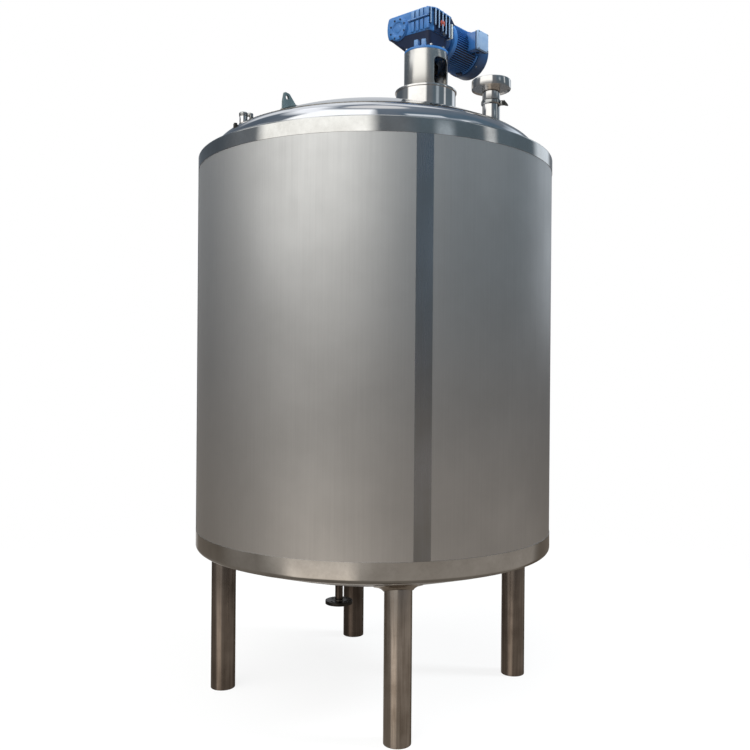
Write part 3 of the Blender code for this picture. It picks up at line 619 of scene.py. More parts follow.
def add_rod(shape: BMesh, radius: float, length: float, matrix: Matrix, sides: int = 24,
            bevel: float = 0.0) -> None:
    """Add a round bar that starts at a matrix's origin and runs along its z axis.

    Args:
        shape: The mesh that takes the bar.
        radius: Its radius.
        length: Its length.
        matrix: Its place and direction.
        sides: Number of sides.
        bevel: Radius of its end edges.
    """
    lift = matrix @ shifted(0.0, 0.0, length / 2.0)
    made = bmesh.ops.create_cone(shape, cap_ends=True, segments=sides, radius1=radius,
                                 radius2=radius, depth=length, matrix=lift)["verts"]
    if bevel > 0.0:
        caps = [f for f in {f for v in made for f in v.link_faces} if len(f.verts) == sides]
        edges = list({e for f in caps for e in f.edges})
        bmesh.ops.bevel(shape, geom=edges, offset=bevel, segments=2, profile=0.5, affect="EDGES",
                        clamp_overlap=True)


def add_bolt(shape: BMesh, matrix: Matrix, across: float, height: float,
             washer: bool = True) -> None:
    """Add a hexagon bolt head on a washer, standing along a matrix's z axis.

    Args:
        shape: The mesh that takes the bolt.
        matrix: Its seat and direction.
        across: Size across the head's flats.
        height: Height of the head.
        washer: Whether it sits on a washer.
    """
    base = 0.0
    if washer:
        base = across * 0.12
        add_rod(shape, across * 0.78, base, matrix, 20, base * 0.3)
    head = matrix @ shifted(0.0, 0.0, base)
    add_rod(shape, across / math.sqrt(3.0), height, head, 6, height * 0.14)


def add_slab(shape: BMesh, line: Sequence[Point], thickness: float, middle: float = 0.0) -> None:
    """Add an upright slab with an outline of its own.

    Args:
        shape: The mesh that takes the slab.
        line: The outline, as distance along x and height.
        thickness: Its size along y.
        middle: Place of its middle plane along y.
    """
    near, far = ([shape.verts.new((x, middle + side * thickness / 2.0, z)) for x, z in line]
                 for side in (-1.0, 1.0))
    loft(shape, [near[::-1], far[::-1]])


def to_object(name: str, shape: BMesh, material: Material,
              body: str = TANK, sharp: float = 32.0, replaced: Iterable[str] = (),
              matrix: Matrix | None = None) -> Object:
    """Turn a mesh into a piece of the tank that rides on a body.

    Args:
        name: The piece's name.
        shape: Its mesh, which is freed here.
        material: Its finish.
        body: The body on which it rides.
        sharp: Corners sharper than this angle in degrees stay crisp.
        replaced: Names of the plain nodes for which it stands.
        matrix: Where the mesh goes, or None to leave it.

    Returns:
        The new object.
    """
    if matrix is not None:
        bmesh.ops.transform(shape, matrix=matrix, verts=shape.verts[:])
    bmesh.ops.recalc_face_normals(shape, faces=shape.faces[:])
    mesh = bpy.data.meshes.new(name)
    shape.to_mesh(mesh)
    shape.free()
    mesh.materials.append(material)
    mesh.shade_smooth()
    mesh.set_sharp_from_angle(angle=math.radians(sharp))
    piece = bpy.data.objects.new(name, mesh)
    bpy.context.scene.collection.objects.link(piece)
    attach(piece, body)
    names = tuple(replaced)
    if names:
        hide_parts(*names)
    log.info("made %s with %d faces", name, len(mesh.polygons))
    return piece


def turned_piece(name: str, profile: Sequence[Point], material: Material,
                 centre: Point = AXIS, steps: int = 64, replaced: Iterable[str] = (),
                 closed: bool = True, sharp: float = 32.0, start: float = 0.0,
                 sweep: float = 360.0) -> Object:
    """Make a turned piece.

    Args:
        name: The piece's name.
        profile: Radius and height of each corner.
        material: Its finish.
        centre: Plan position of its axis.
        steps: Number of sides.
        replaced: Names of the plain nodes for which it stands.
        closed: Whether the profile's last corner joins its first one.
        sharp: Corners sharper than this angle in degrees stay crisp.
        start: Direction of its first side, in degrees round from the front.
        sweep: Angle of the turn in degrees.

    Returns:
        The new object.
    """
    shape = bmesh.new()
    spin(shape, profile, centre, steps, start, sweep, closed)
    return to_object(name, shape, material, sharp=sharp, replaced=replaced)


def dress_node(node: str, material: Material) -> None:
    """Give a plain node that stays in view its finish."""
    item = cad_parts[node]
    item.data.materials.clear()
    item.data.materials.append(material)


def level_ring(centre: Point, radius: float, height: float, count: int) -> list[Vector]:
    """Return a level ring of points.

    Args:
        centre: Plan position of its middle.
        radius: The ring's radius.
        height: The ring's height.
        count: Number of points.

    Returns:
        The points round the ring.
    """
    return [Vector((*polar(radius, 360.0 * i / count, centre), height)) for i in range(count)]


def bead(name: str, path: Sequence[Vector], radius: float, material: Material) -> None:
    """Make a rippled weld bead along a closed path.

    Args:
        name: The piece's name.
        path: Points along the weld.
        radius: Half the bead's width.
        material: Its finish.
    """
    shape = bmesh.new()
    sides = 8
    rings = []
    for index, point in enumerate(path):
        ahead = (path[(index + 1) % len(path)] - path[index - 1]).normalized()
        out = ahead.cross(Vector((0.0, 0.0, 1.0))).normalized()
        up = out.cross(ahead)
        swell = radius * (1.0 + 0.12 * math.sin(index * 2.4))
        angles = [2.0 * math.pi * side / sides for side in range(sides)]
        rings.append([shape.verts.new(point + (out * math.cos(a) + up * math.sin(a)) * swell)
                      for a in angles])
    loft(shape, rings, True)
    to_object(name, shape, material, sharp=180.0)


def cut_with(piece: Object, cutters: BMesh) -> None:
    """Cut a piece with a mesh and keep the result.

    Args:
        piece: The piece to cut.
        cutters: The cutting mesh, which is freed here.
    """
    bmesh.ops.recalc_face_normals(cutters, faces=cutters.faces[:])
    mesh = bpy.data.meshes.new("cutting_tool")
    cutters.to_mesh(mesh)
    cutters.free()
    tool = bpy.data.objects.new("cutting_tool", mesh)
    bpy.context.scene.collection.objects.link(tool)
    step = piece.modifiers.new("cut", "BOOLEAN")
    step.operation = "DIFFERENCE"
    step.solver = "EXACT"
    step.object = tool
    bpy.context.view_layer.update()
    graph = bpy.context.evaluated_depsgraph_get()
    result = bpy.data.meshes.new_from_object(piece.evaluated_get(graph))
    piece.modifiers.clear()
    piece.data = result
    result.shade_smooth()
    result.set_sharp_from_angle(angle=math.radians(30.0))
    bpy.data.objects.remove(tool, do_unlink=True)


# The surfaces of the tank


@dataclass(frozen=True)
class HeadForm:
    """The dished head: a crown, a knuckle and a straight wall that meet smoothly."""

    radius: float = 0.780
    knuckle: float = 0.100
    crown: float = 1.592
    tangent: float = 2.482
    thickness: float = 0.005

    @property
    def meeting(self) -> float:
        """Angle at which the knuckle meets the crown, in radians."""
        return math.asin((self.radius - self.knuckle) / (self.crown - self.knuckle))

    @property
    def crown_centre(self) -> float:
        """Height of the crown's centre."""
        reach = self.crown - self.knuckle
        return self.tangent - math.sqrt(reach ** 2 - (self.radius - self.knuckle) ** 2)

    def outline(self, inwards: float = 0.0) -> list[Point]:
        """Return the outline from the rim to the crown.

        Args:
            inwards: How far inside the outer face the outline lies.

        Returns:
            Radius and height of each point.
        """
        knuckle_steps, crown_steps = 18, 36
        base = self.radius - self.knuckle
        small, large = self.knuckle - inwards, self.crown - inwards
        points = []
        for index in range(knuckle_steps + 1):
            angle = math.pi / 2.0 + (self.meeting - math.pi / 2.0) * index / knuckle_steps
            points.append((base + small * math.sin(angle), self.tangent + small * math.cos(angle)))
        for index in range(1, crown_steps + 1):
            angle = self.meeting * (1.0 - index / crown_steps)
            points.append((large * math.sin(angle), self.crown_centre + large * math.cos(angle)))
        return points

    def height(self, x: float, y: float) -> float:
        """Return the outer face's height over a plan position."""
        out = math.hypot(x, y)
        if out > self.crown * math.sin(self.meeting):
            reach = min(out - (self.radius - self.knuckle), self.knuckle)
            return self.tangent + math.sqrt(max(self.knuckle ** 2 - reach ** 2, 0.0))
        return self.crown_centre + math.sqrt(self.crown ** 2 - out ** 2)

    def ring(self, centre: Point, radius: float, count: int) -> list[Vector]:
        """Return the line where an upright pipe meets the head.

        Args:
            centre: The pipe's plan position.
            radius: The pipe's radius.
            count: Number of points.

        Returns:
            Points round the pipe, on the head.
        """
        points = []
        for index in range(count):
            x, y = polar(radius, 360.0 * index / count, centre)
            points.append(Vector((x, y, self.height(x, y))))
        return points


HEAD = HeadForm()


@dataclass
class InsulatedWall:
    """The satin cladding, its seam strips and the two polished bands."""

    finishes: Finishes
    radius: float = 0.8397
    thickness: float = 0.002
    bottom: float = 0.6903
    top: float = 2.4787
    joint: float = 0.01
    seam_direction: float = 13.3
    seam_width: float = 0.070
    seam_proud: float = 0.0015
    seam_gap: float = 0.0003
    band_radius: float = 0.8415
    band_thickness: float = 0.0015
    band_sides: int = 224
    rim: float = 2.488
    rim_bend: float = 0.009
    rim_gap: float = 0.0004
    top_band_bottom: float = 2.423
    bottom_band_top: float = 0.757
    bottom_lip: float = 0.7994
    bottom_bend: float = 0.022
    shell_bottom: float = 0.668

    def build(self) -> None:
        """Make every piece of the wall."""
        for side in Side:
            self.sheet(side)
            self.strip(side)
        self.top_band()
        self.bottom_band()

    def sheet(self, side: Side) -> None:
        """Make one upright cladding sheet."""
        name = side.name.lower()
        inner = self.radius - self.thickness
        profile = [(self.radius, self.top), (self.radius, self.bottom), (inner, self.bottom),
                   (inner, self.top)]
        start = self.seam_direction + side.value - 90.0
        turned_piece("cladding_wall_" + name, profile, self.finishes.cladding, steps=72,
                     start=start + self.joint, sweep=90.0 - 2.0 * self.joint,
                     replaced=("cladding_sheet_" + name,))

    def strip(self, side: Side) -> None:
        """Make one flat strip over a joint, with its long edges eased."""
        name = side.name.lower()
        half = math.degrees(self.seam_width / self.radius) / 2.0
        outer, inner = self.radius + self.seam_proud, self.radius + 0.0001
        low, high = self.bottom_band_top + self.seam_gap, self.top_band_bottom - self.seam_gap
        profile = rounded_corners([(outer, high), (outer, low), (inner, low), (inner, high)],
                                  0.0006, 2)
        turned_piece("seam_cover_" + name, profile, self.finishes.seam, steps=12,
                     start=self.seam_direction + side.value - half, sweep=2.0 * half, sharp=25.0,
                     replaced=("seam_strip_" + name,))

    def top_band(self) -> None:
        """Make the top band, whose upper edge rolls over to close the insulation."""
        bend = (self.band_radius - self.rim_bend, self.rim - self.rim_bend)
        inner, lip = self.band_radius - self.band_thickness, HEAD.radius + self.rim_gap
        outer = [(lip, self.rim), *arc_points(bend, self.rim_bend, 90.0, 0.0, 10),
                 (self.band_radius, self.top_band_bottom)]
        back = [(inner, self.top_band_bottom),
                *arc_points(bend, self.rim_bend - self.band_thickness, 0.0, 90.0, 8),
                (lip, self.rim - self.band_thickness)]
        turned_piece("polished_rim_band", outer + back, self.finishes.polished,
                     steps=self.band_sides, replaced=("top_rim_band",))

    def bottom_band(self) -> None:
        """Make the bottom band, whose lower edge rolls under the tank."""
        bend = (self.band_radius - self.bottom_bend, self.shell_bottom + self.bottom_bend)
        inner, lip = self.band_radius - self.band_thickness, self.bottom_lip
        outer = [(self.band_radius, self.bottom_band_top),
                 *arc_points(bend, self.bottom_bend, 0.0, -90.0, 12), (lip, self.shell_bottom)]
        back = [(lip, self.shell_bottom + self.band_thickness),
                *arc_points(bend, self.bottom_bend - self.band_thickness, -90.0, 0.0, 10),
                (inner, self.bottom_band_top)]
        turned_piece("polished_bottom_band", outer + back, self.finishes.polished,
                     steps=self.band_sides, replaced=("bottom_edge_band",))


@dataclass
class Vessel:
    """The dished top head, and the vessel's plain inner pieces."""

    finishes: Finishes
    weld_radius: float = 0.7125
    weld_half: float = 0.0022

    def build(self) -> None:
        """Make the head and dress what lies inside."""
        profile = HEAD.outline()[::-1] + HEAD.outline(HEAD.thickness)
        turned_piece("dished_head", profile, self.finishes.head, steps=224, closed=False,
                     sharp=40.0, replaced=("top_head",))
        bead("head_rim_weld", HEAD.ring(AXIS, self.weld_radius, 480), self.weld_half,
             self.finishes.weld)
        for node in ("inner_vessel", "bottom_head"):
            dress_node(node, self.finishes.vessel)


@dataclass
class Undercarriage:
    """The dished underside, the four legs with their collars, and the outlet."""

    finishes: Finishes
    edge_radius: float = 0.7994
    edge_height: float = 0.660
    centre_height: float = 0.530
    leg_circle: float = 0.711
    leg_radius: float = 0.05715
    leg_turn: float = 8.5
    collar_radius: float = 0.100
    collar_depth: float = 0.019
    collar_slope: float = 0.33
    collar_gap: float = 0.0006
    outlet: Point = (-0.163, 0.050)
    pipe_radius: float = 0.019
    pipe_top: float = 0.590
    bore: float = 0.017
    flange_radius: float = 0.067
    flange_bottom: float = 0.356
    flange_top: float = 0.372
    bolt_circle: float = 0.0475
    bolt_hole: float = 0.007

    @property
    def dish(self) -> float:
        """Radius of the underside's curve."""
        depth = self.edge_height - self.centre_height
        return (self.edge_radius ** 2 + depth ** 2) / (2.0 * depth)

    def height(self, x: float, y: float) -> float:
        """Return the underside's height over a plan position."""
        out = min(math.hypot(x, y), self.edge_radius)
        return self.centre_height + self.dish - math.sqrt(self.dish ** 2 - out ** 2)

    def build(self) -> None:
        """Make every piece below the tank."""
        dress_node("underside_cladding", self.finishes.cladding)
        for side in Side:
            self.leg(side)
        self.outlet_pieces()

    def leg(self, side: Side) -> None:
        """Make one pipe leg with its rounded foot, and its flared collar."""
        name = side.name.lower()
        direction = self.leg_turn + side.value
        centre = polar(self.leg_circle, direction)
        top, radius = self.height(*centre), self.leg_radius
        profile = rounded_corners([(0.0, top), (radius, top), (radius, 0.0), (0.0, 0.0)], 0.0025, 3,
                                  closed=False)
        # The back leg takes the pipe finish darkened with painted shade.
        finish = {Side.BACK: self.finishes.painted_shade_pipe, Side.FRONT: self.finishes.leg}.get(
            side, self.finishes.side_leg)
        turned_piece("pipe_leg_" + name, profile, finish, centre, 64,
                     replaced=("leg_" + name,), closed=False)
        self.collar(name, centre, direction)

    def drop(self, reach: float) -> float:
        """Return how far the collar hangs down at a distance from the leg's axis."""
        inner = self.leg_radius
        line = [(inner + 0.003, self.collar_depth), (inner + 0.010, 0.011), (inner + 0.022, 0.004),
                (self.collar_radius, 0.0)]
        for (first, deep), (second, shallow) in zip(line, line[1:]):
            if reach <= second:
                return deep + (shallow - deep) * max((reach - first) / (second - first), 0.0)
        return 0.0

    def collar(self, name: str, centre: Point, direction: float) -> None:
        """Make a spun collar that flares from the leg to the cladding and is cut at its edge.

        Args:
            name: The quarter's name.
            centre: The leg's plan position.
            direction: Where the leg stands, in degrees round from the front.
        """
        shape = bmesh.new()
        steps, rise = 96, 14
        level, limit = self.height(*centre), self.edge_radius - 0.001
        inner = self.leg_radius + self.collar_gap
        foot = inner + 0.003
        rings = []
        for index in range(steps):
            turn = 360.0 * index / steps
            outward = math.cos(math.radians(turn - direction))
            across = self.leg_circle * outward
            reach = math.sqrt(across ** 2 + limit ** 2 - self.leg_circle ** 2) - across
            reach = min(reach, self.collar_radius)
            corners = []
            for step in range(rise + 1):
                out = foot + (reach - foot) * step / rise
                x, y = polar(out, turn, centre)
                z = level + self.collar_slope * out * outward - self.drop(out)
                corners.append((x, y, min(z, self.height(x, y) - 0.0005)))
            for out in (reach, inner):
                x, y = polar(out, turn, centre)
                corners.append((x, y, self.height(x, y) - 0.0003))
            corners.append((x, y, level + self.collar_slope * inner * outward - self.collar_depth))
            rings.append([shape.verts.new(corner) for corner in corners])
        loft(shape, rings, True)
        to_object("flared_collar_" + name, shape, self.finishes.collar,
                  replaced=("leg_collar_" + name,))

    def outlet_pieces(self) -> None:
        """Make the outlet pipe and its flange, with four bolt holes."""
        radius, bore, low, high = self.flange_radius, self.bore, self.flange_bottom, self.flange_top
        profile = [(radius, high), (radius, low), (bore + 0.014, low), (bore, low), (bore, high)]
        # The flange's near-black colour is painted shade for its place under the tank.
        piece = turned_piece("drain_flange", rounded_corners(profile, 0.0012, 2),
                             self.finishes.flange, self.outlet, 72,
                             replaced=("outlet_flange",))
        cutters = bmesh.new()
        for index in range(4):
            x, y = polar(self.bolt_circle, 45.0 + 90.0 * index, self.outlet)
            add_rod(cutters, self.bolt_hole, 0.05, shifted(x, y, low - 0.01), 20)
        cut_with(piece, cutters)
        foot, top = high + 0.0003, self.pipe_top
        pipe = [(self.pipe_radius, top), (self.pipe_radius, foot), (bore, foot), (bore, top)]
        # The outlet pipe takes the pipe finish darkened with painted shade.
        turned_piece("drain_pipe", pipe, self.finishes.painted_shade_pipe, self.outlet, 40,
                     replaced=("outlet_pipe",))
        bead("drain_flange_weld", level_ring(self.outlet, self.pipe_radius + 0.001, high, 48),
             0.0022, self.finishes.weld)


@dataclass
class HeadFittings:
    """The lifting lugs, the capped nozzle, the plug and the hooded vent."""

    finishes: Finishes
    lug_direction: float = -36.5
    lug_inner: float = 0.5805
    lug_outer: float = 0.6645
    lug_top: float = 2.677
    lug_thickness: float = 0.010
    lug_hole: float = 0.0095
    hole_in: float = 0.0265
    hole_down: float = 0.021
    nozzle: Point = (-0.5757, -0.425)
    nozzle_radius: float = 0.0175
    cap_radius: float = 0.0195
    cap_bottom: float = 2.6015
    cap_top: float = 2.6185
    plug: Point = (-0.6085, -0.436)
    plug_radius: float = 0.0095
    plug_top: float = 2.569
    vent: Point = (0.511, -0.352)
    vent_radius: float = 0.039
    clamp_bottom: float = 2.680
    clamp_top: float = 2.702
    clamp_radius: float = 0.044
    clamp_turn: float = -14.0
    clamp_bolt: Point = (0.055, -0.003)
    hood_radius: float = 0.0865
    hood_bottom: float = 2.750
    hood_top: float = 2.790
    hood_bend: float = 0.005

    def build(self) -> None:
        """Make every fitting on the head."""
        self.lug("front", self.lug_direction)
        self.lug("back", self.lug_direction + 180.0)
        self.capped_nozzle()
        self.hexagon_plug()
        self.vent_stem()
        self.vent_clamp()
        self.vent_hood()

    def lug(self, name: str, direction: float) -> None:
        """Make one lifting lug: a plate with a rounded top, welded upright on the head.

        Args:
            name: Which lug it is.
            direction: Where it stands, in degrees round from the front.
        """
        inner, outer, top = self.lug_inner, self.lug_outer, self.lug_top
        foot, sunk = HEAD.height(inner, 0.0), 0.004
        crown = [(inner, foot), (outer - 0.040, top - 0.002), (outer - 0.0105, top),
                 (outer - 0.001, top - 0.042)]
        line = [(inner, foot - sunk), *rounded_corners(crown, 0.011, 6, False),
                (outer, HEAD.height(outer, 0.0) - sunk)]
        shape = bmesh.new()
        add_slab(shape, line, self.lug_thickness)
        turn = turned(direction - 90.0)
        piece = to_object("lifting_plate_" + name, shape, self.finishes.lug, matrix=turn,
                          replaced=("lifting_lug_" + name,))
        tool = bmesh.new()
        lay = turn @ shifted(outer - self.hole_in, -0.03, top - self.hole_down) @ LAID_BACK
        add_rod(tool, self.lug_hole, 0.06, lay, 28)
        cut_with(piece, tool)
        edge = piece.modifiers.new("eased_edges", "BEVEL")
        edge.width = 0.0012
        edge.segments = 2
        edge.limit_method = "ANGLE"
        reach, half = 0.001, self.lug_thickness / 2.0 + 0.001
        corners = [(inner - reach, -half), (outer + reach, -half), (outer + reach, half),
                   (inner - reach, half)]
        path = []
        for (x, y), (next_x, next_y) in zip(corners, corners[1:] + corners[:1]):
            for step in range(14):
                place = (x + (next_x - x) * step / 14, y + (next_y - y) * step / 14)
                path.append(turn @ Vector((*place, HEAD.height(*place))))
        bead("lug_weld_" + name, path, 0.003, self.finishes.weld)

    def capped_nozzle(self) -> None:
        """Make the small nozzle and the round cap held on it by a hinged ear."""
        low, high, radius = self.cap_bottom, self.cap_top, self.cap_radius
        foot, top = HEAD.height(*self.nozzle) - 0.02, self.cap_bottom - 0.0003
        stem = [(0.0, top), (self.nozzle_radius, top), (self.nozzle_radius, foot), (0.0, foot)]
        turned_piece("small_nozzle", rounded_corners(stem, 0.0008, 2, False), self.finishes.mirror,
                     self.nozzle, 56, replaced=("capped_nozzle",), closed=False)
        bead("small_nozzle_weld", HEAD.ring(self.nozzle, self.nozzle_radius + 0.001, 60), 0.002,
             self.finishes.weld)
        shape = bmesh.new()
        slope, groove = 0.0045, radius - 0.0014
        cap = [(0.0, high), (radius - slope, high), (radius, high - slope), (radius, low + 0.006),
               (groove, low + 0.005), (groove, low + 0.0035), (radius, low + 0.0025), (radius, low),
               (0.0, low)]
        spin(shape, rounded_corners(cap, 0.0011, 3, False), self.nozzle, 56, closed=False)
        ear = shifted(*self.nozzle, (low + high) / 2.0)
        for across in (-0.0072, 0.0034):
            add_box(shape, (radius - 0.001, across, -0.0085), (0.034, across + 0.0038, 0.0062),
                    0.0014, 2, ear)
        add_rod(shape, 0.0035, 0.018, ear @ shifted(0.028, -0.009, -0.001) @ LAID_BACK, 16, 0.0006)
        add_rod(shape, 0.0095, 0.0260, ear @ shifted(0.0335, 0.0, -0.0215), 6, 0.0022)
        to_object("clamped_cap", shape, self.finishes.fitting, replaced=("nozzle_cap",))

    def hexagon_plug(self) -> None:
        """Make the small threaded plug beside the nozzle."""
        foot, top, radius = HEAD.height(*self.plug) - 0.012, self.plug_top - 0.005, self.plug_radius
        shape = bmesh.new()
        socket = [(0.0, top), (radius, top), (radius, foot), (0.0, foot)]
        spin(shape, rounded_corners(socket, 0.0012, 2, False), self.plug, 28, closed=False)
        add_bolt(shape, shifted(*self.plug, top), 0.014, 0.005, False)
        to_object("hexagon_plug", shape, self.finishes.dark, replaced=("head_plug",))

    def vent_stem(self) -> None:
        """Make the vent's stem, with the two rims that the clamp holds together."""
        foot, top = HEAD.height(*self.vent) - 0.03, self.hood_top - 0.003
        radius, low, high = self.vent_radius, self.clamp_bottom, self.clamp_top
        waist, ease = radius - 0.0025, 0.0005
        stem = [(0.0, top), (radius, top), (radius, high + ease), (waist, high - ease),
                (waist, low + ease), (radius, low - ease), (radius, foot), (0.0, foot)]
        turned_piece("vent_pipe", rounded_corners(stem, 0.0006, 2, False), self.finishes.mirror,
                     self.vent, 80, replaced=("vent_stub",), closed=False)
        bead("vent_weld", HEAD.ring(self.vent, radius + 0.001, 90), 0.0028, self.finishes.weld)

    def clamp_frame(self) -> Matrix:
        """Return the clamp's own frame, whose x points outwards to the wing nut."""
        middle = (self.clamp_bottom + self.clamp_top) / 2.0
        return shifted(*self.vent, middle) @ turned(self.clamp_turn)

    def vent_clamp(self) -> None:
        """Make the clamp's two halves, their ears, and the wing nut that draws them together."""
        half = (self.clamp_top - self.clamp_bottom) / 2.0
        out, inner = self.clamp_radius, self.vent_radius - 0.002
        band = [(out, half - 0.005), (out, 0.005 - half), (out - 0.003, -half), (inner, -half),
                (inner, half), (out - 0.003, half)]
        shape = bmesh.new()
        for start in (95.0, 275.0):
            spin(shape, rounded_corners(band, 0.0012, 3), AXIS, 44, start, 170.0)
        for low in (-0.0070, 0.0025):
            add_box(shape, (out - 0.003, low, -0.0115), (0.062, low + 0.0045, 0.009), 0.0016)
        for low in (-0.0065, 0.0025):
            add_box(shape, (0.002 - out, low, -0.007), (0.008 - out, low + 0.004, 0.007), 0.001)
        to_object("vent_clamp_halves", shape, self.finishes.fitting,
                  matrix=self.clamp_frame(), replaced=("vent_clamp",))
        nut = bmesh.new()
        x, z = self.clamp_bolt
        add_rod(nut, 0.0038, 0.030, shifted(x, -0.015, z) @ LAID_BACK, 18, 0.0008)
        add_rod(nut, 0.0080, 0.008, shifted(x, -0.0155, z) @ LAID_BACK, 22, 0.0014)
        wing = [(0.050, 0.004), (0.0605, 0.0045), (0.0680, -0.003), (0.0775, -0.0170),
                (0.0745, -0.0205), (0.0640, -0.0180), (0.0500, -0.0130)]
        add_slab(nut, rounded_corners(wing, 0.003, 3), 0.0042, -0.0115)
        to_object("clamp_wing_nut", nut, self.finishes.dark, matrix=self.clamp_frame(),
                  replaced=("vent_wing_nut",))

    def vent_hood(self) -> None:
        """Make the spun hood: a flat top, a tight rolled edge and a straight skirt."""
        edge, top, base, bend = self.hood_radius, self.hood_top, self.hood_bottom, self.hood_bend
        corner = (edge - bend, top - bend - 0.0004)
        hood = [(0.0, top), (edge * 0.6, top - 0.0003), *arc_points(corner, bend, 88.0, 0.0, 8),
                (edge, base + 0.002), (edge - 0.0006, base), (edge - 0.0020, base),
                (edge - 0.0024, base + 0.002), *arc_points(corner, bend - 0.0022, 0.0, 88.0, 6),
                (edge * 0.6, top - 0.0026), (0.0, top - 0.0024)]
        turned_piece("spun_vent_hood", hood, self.finishes.mirror, self.vent, 112,
                     replaced=("vent_hood",), closed=False, sharp=40.0)
        out, inner = edge - 0.0026, self.vent_radius + 0.0004
        low, high = base + 0.0045, base + 0.0055
        turned_piece("vent_hood_screen", [(out, high), (out, low), (inner, low), (inner, high)],
                     self.finishes.pedestal, self.vent, 96)


@dataclass
class DriveMounting:
    """The agitator's base on the head, its plate, the shaft seal and the windowed pedestal."""

    finishes: Finishes
    base_radius: float = 0.145
    base_wall: float = 0.006
    plate_radius: float = 0.150
    plate_bottom: float = 2.850
    plate_top: float = 2.860
    passage: float = 0.045
    seal_bore: float = 0.0256
    seal_flange: float = 0.096
    seal_top: float = 2.900
    screw_circle: float = 0.080
    pedestal_radius: float = 0.1065
    pedestal_wall: float = 0.005
    pedestal_top: float = 3.041
    window_direction: float = 43.0
    window_width: float = 0.090
    window_bottom: float = 2.868
    window_top: float = 3.005
    window_corner: float = 0.026
    gap: float = 0.0003

    def build(self) -> None:
        """Make every piece of the mounting."""
        self.base()
        self.seal()
        self.pedestal()

    def base(self) -> None:
        """Make the base drum, its plate and the weld round its foot."""
        shape = bmesh.new()
        steps, low, high = 144, self.plate_bottom, self.plate_top
        rings = []
        for index in range(steps):
            outer, inner = (polar(radius, 360.0 * index / steps, DRIVE_CENTRE)
                            for radius in (self.base_radius, self.base_radius - self.base_wall))
            foot, inner_foot = (HEAD.height(*place) - 0.001 for place in (outer, inner))
            corners = ((*outer, low), (*outer, foot), (*inner, inner_foot), (*inner, low))
            rings.append([shape.verts.new(corner) for corner in corners])
        loft(shape, rings, True)
        to_object("base_drum", shape, self.finishes.mirror, replaced=("agitator_base",))
        bead("base_drum_weld", HEAD.ring(DRIVE_CENTRE, self.base_radius + 0.001, 180), 0.003,
             self.finishes.weld)
        plate = [(self.passage, high), (self.plate_radius, high), (self.plate_radius, low),
                 (self.passage, low)]
        turned_piece("base_drum_plate", rounded_corners(plate, 0.0022, 4), self.finishes.mirror,
                     DRIVE_CENTRE, 144, replaced=("agitator_base_plate",))

    def seal(self) -> None:
        """Make the shaft seal with its ring of cap screws."""
        bore, out, high = self.seal_bore, self.seal_flange, self.seal_top
        low = self.plate_top + self.gap
        step = low + 0.012
        shape = bmesh.new()
        body = [(bore, high), (0.050, high), (0.060, high - 0.009), (0.060, step), (out, step),
                (out, low), (bore, low)]
        spin(shape, rounded_corners(body, 0.0012, 2), DRIVE_CENTRE, 64)
        for index in range(8):
            x, y = polar(self.screw_circle, 22.5 + 45.0 * index, DRIVE_CENTRE)
            add_bolt(shape, shifted(x, y, step), 0.008, 0.006)
        to_object("mechanical_seal", shape, self.finishes.dark, replaced=("shaft_seal",))

    def pedestal(self) -> None:
        """Make the pedestal tube, cut its two windows and weld its foot."""
        low, high = self.plate_top + self.gap, self.pedestal_top
        out, inner = self.pedestal_radius, self.pedestal_radius - self.pedestal_wall
        tube = [(out, high), (out, low), (inner, low), (inner, high)]
        piece = turned_piece("windowed_pedestal", rounded_corners(tube, 0.001, 2),
                             self.finishes.pedestal, DRIVE_CENTRE, 144,
                             replaced=("drive_pedestal",))
        half = self.window_width / 2.0
        line = rounded_corners([(-half, self.window_bottom), (half, self.window_bottom),
                                (half, self.window_top), (-half, self.window_top)],
                               self.window_corner, 7)
        tool = bmesh.new()
        add_slab(tool, line, 2.0 * out + 0.06)
        place = shifted(*DRIVE_CENTRE, 0.0) @ turned(self.window_direction)
        bmesh.ops.transform(tool, matrix=place, verts=tool.verts[:])
        cut_with(piece, tool)
        bead("pedestal_weld", level_ring(DRIVE_CENTRE, out + 0.0005, self.plate_top + 0.001, 120),
             0.0022, self.finishes.weld)


@dataclass
class Agitator:
    """What turns: the shaft, its bolted coupling and the pitched blade impeller."""

    finishes: Finishes
    bottom: float = 2.925
    top: float = 3.020
    bore: float = 0.0253
    hub: float = 0.042
    rim: float = 0.058
    rim_thickness: float = 0.015
    half_gap: float = 0.0006
    bolt_circle: float = 0.050

    def build(self) -> None:
        """Dress the shaft and impeller, and make the coupling with its bolts."""
        for node in ("agitator_shaft", "impeller"):
            dress_node(node, self.finishes.shaft)
        middle = (self.bottom + self.top) / 2.0
        shape = bmesh.new()
        for side, end in ((-1.0, self.bottom), (1.0, self.top)):
            face = middle + side * self.half_gap
            back = face + side * self.rim_thickness
            profile = [(self.bore, end), (self.hub, end), (self.hub, back), (self.rim, back),
                       (self.rim, face), (self.bore, face)]
            spin(shape, rounded_corners(profile, 0.0010, 2), DRIVE_CENTRE, 64)
        lift = shifted(0.0, 0.0, self.half_gap + self.rim_thickness)
        for index in range(6):
            x, y = polar(self.bolt_circle, 60.0 * index, DRIVE_CENTRE)
            seat = shifted(x, y, middle)
            for place in (seat @ lift, seat @ UPSIDE_DOWN @ lift):
                add_bolt(shape, place, 0.010, 0.0065)
        to_object("bolted_coupling", shape, self.finishes.dark, AGITATOR,
                  replaced=("shaft_coupling",))


DRIVE_FRAME = shifted(0.2213, 0.0273, 0.0) @ turned(47.7)


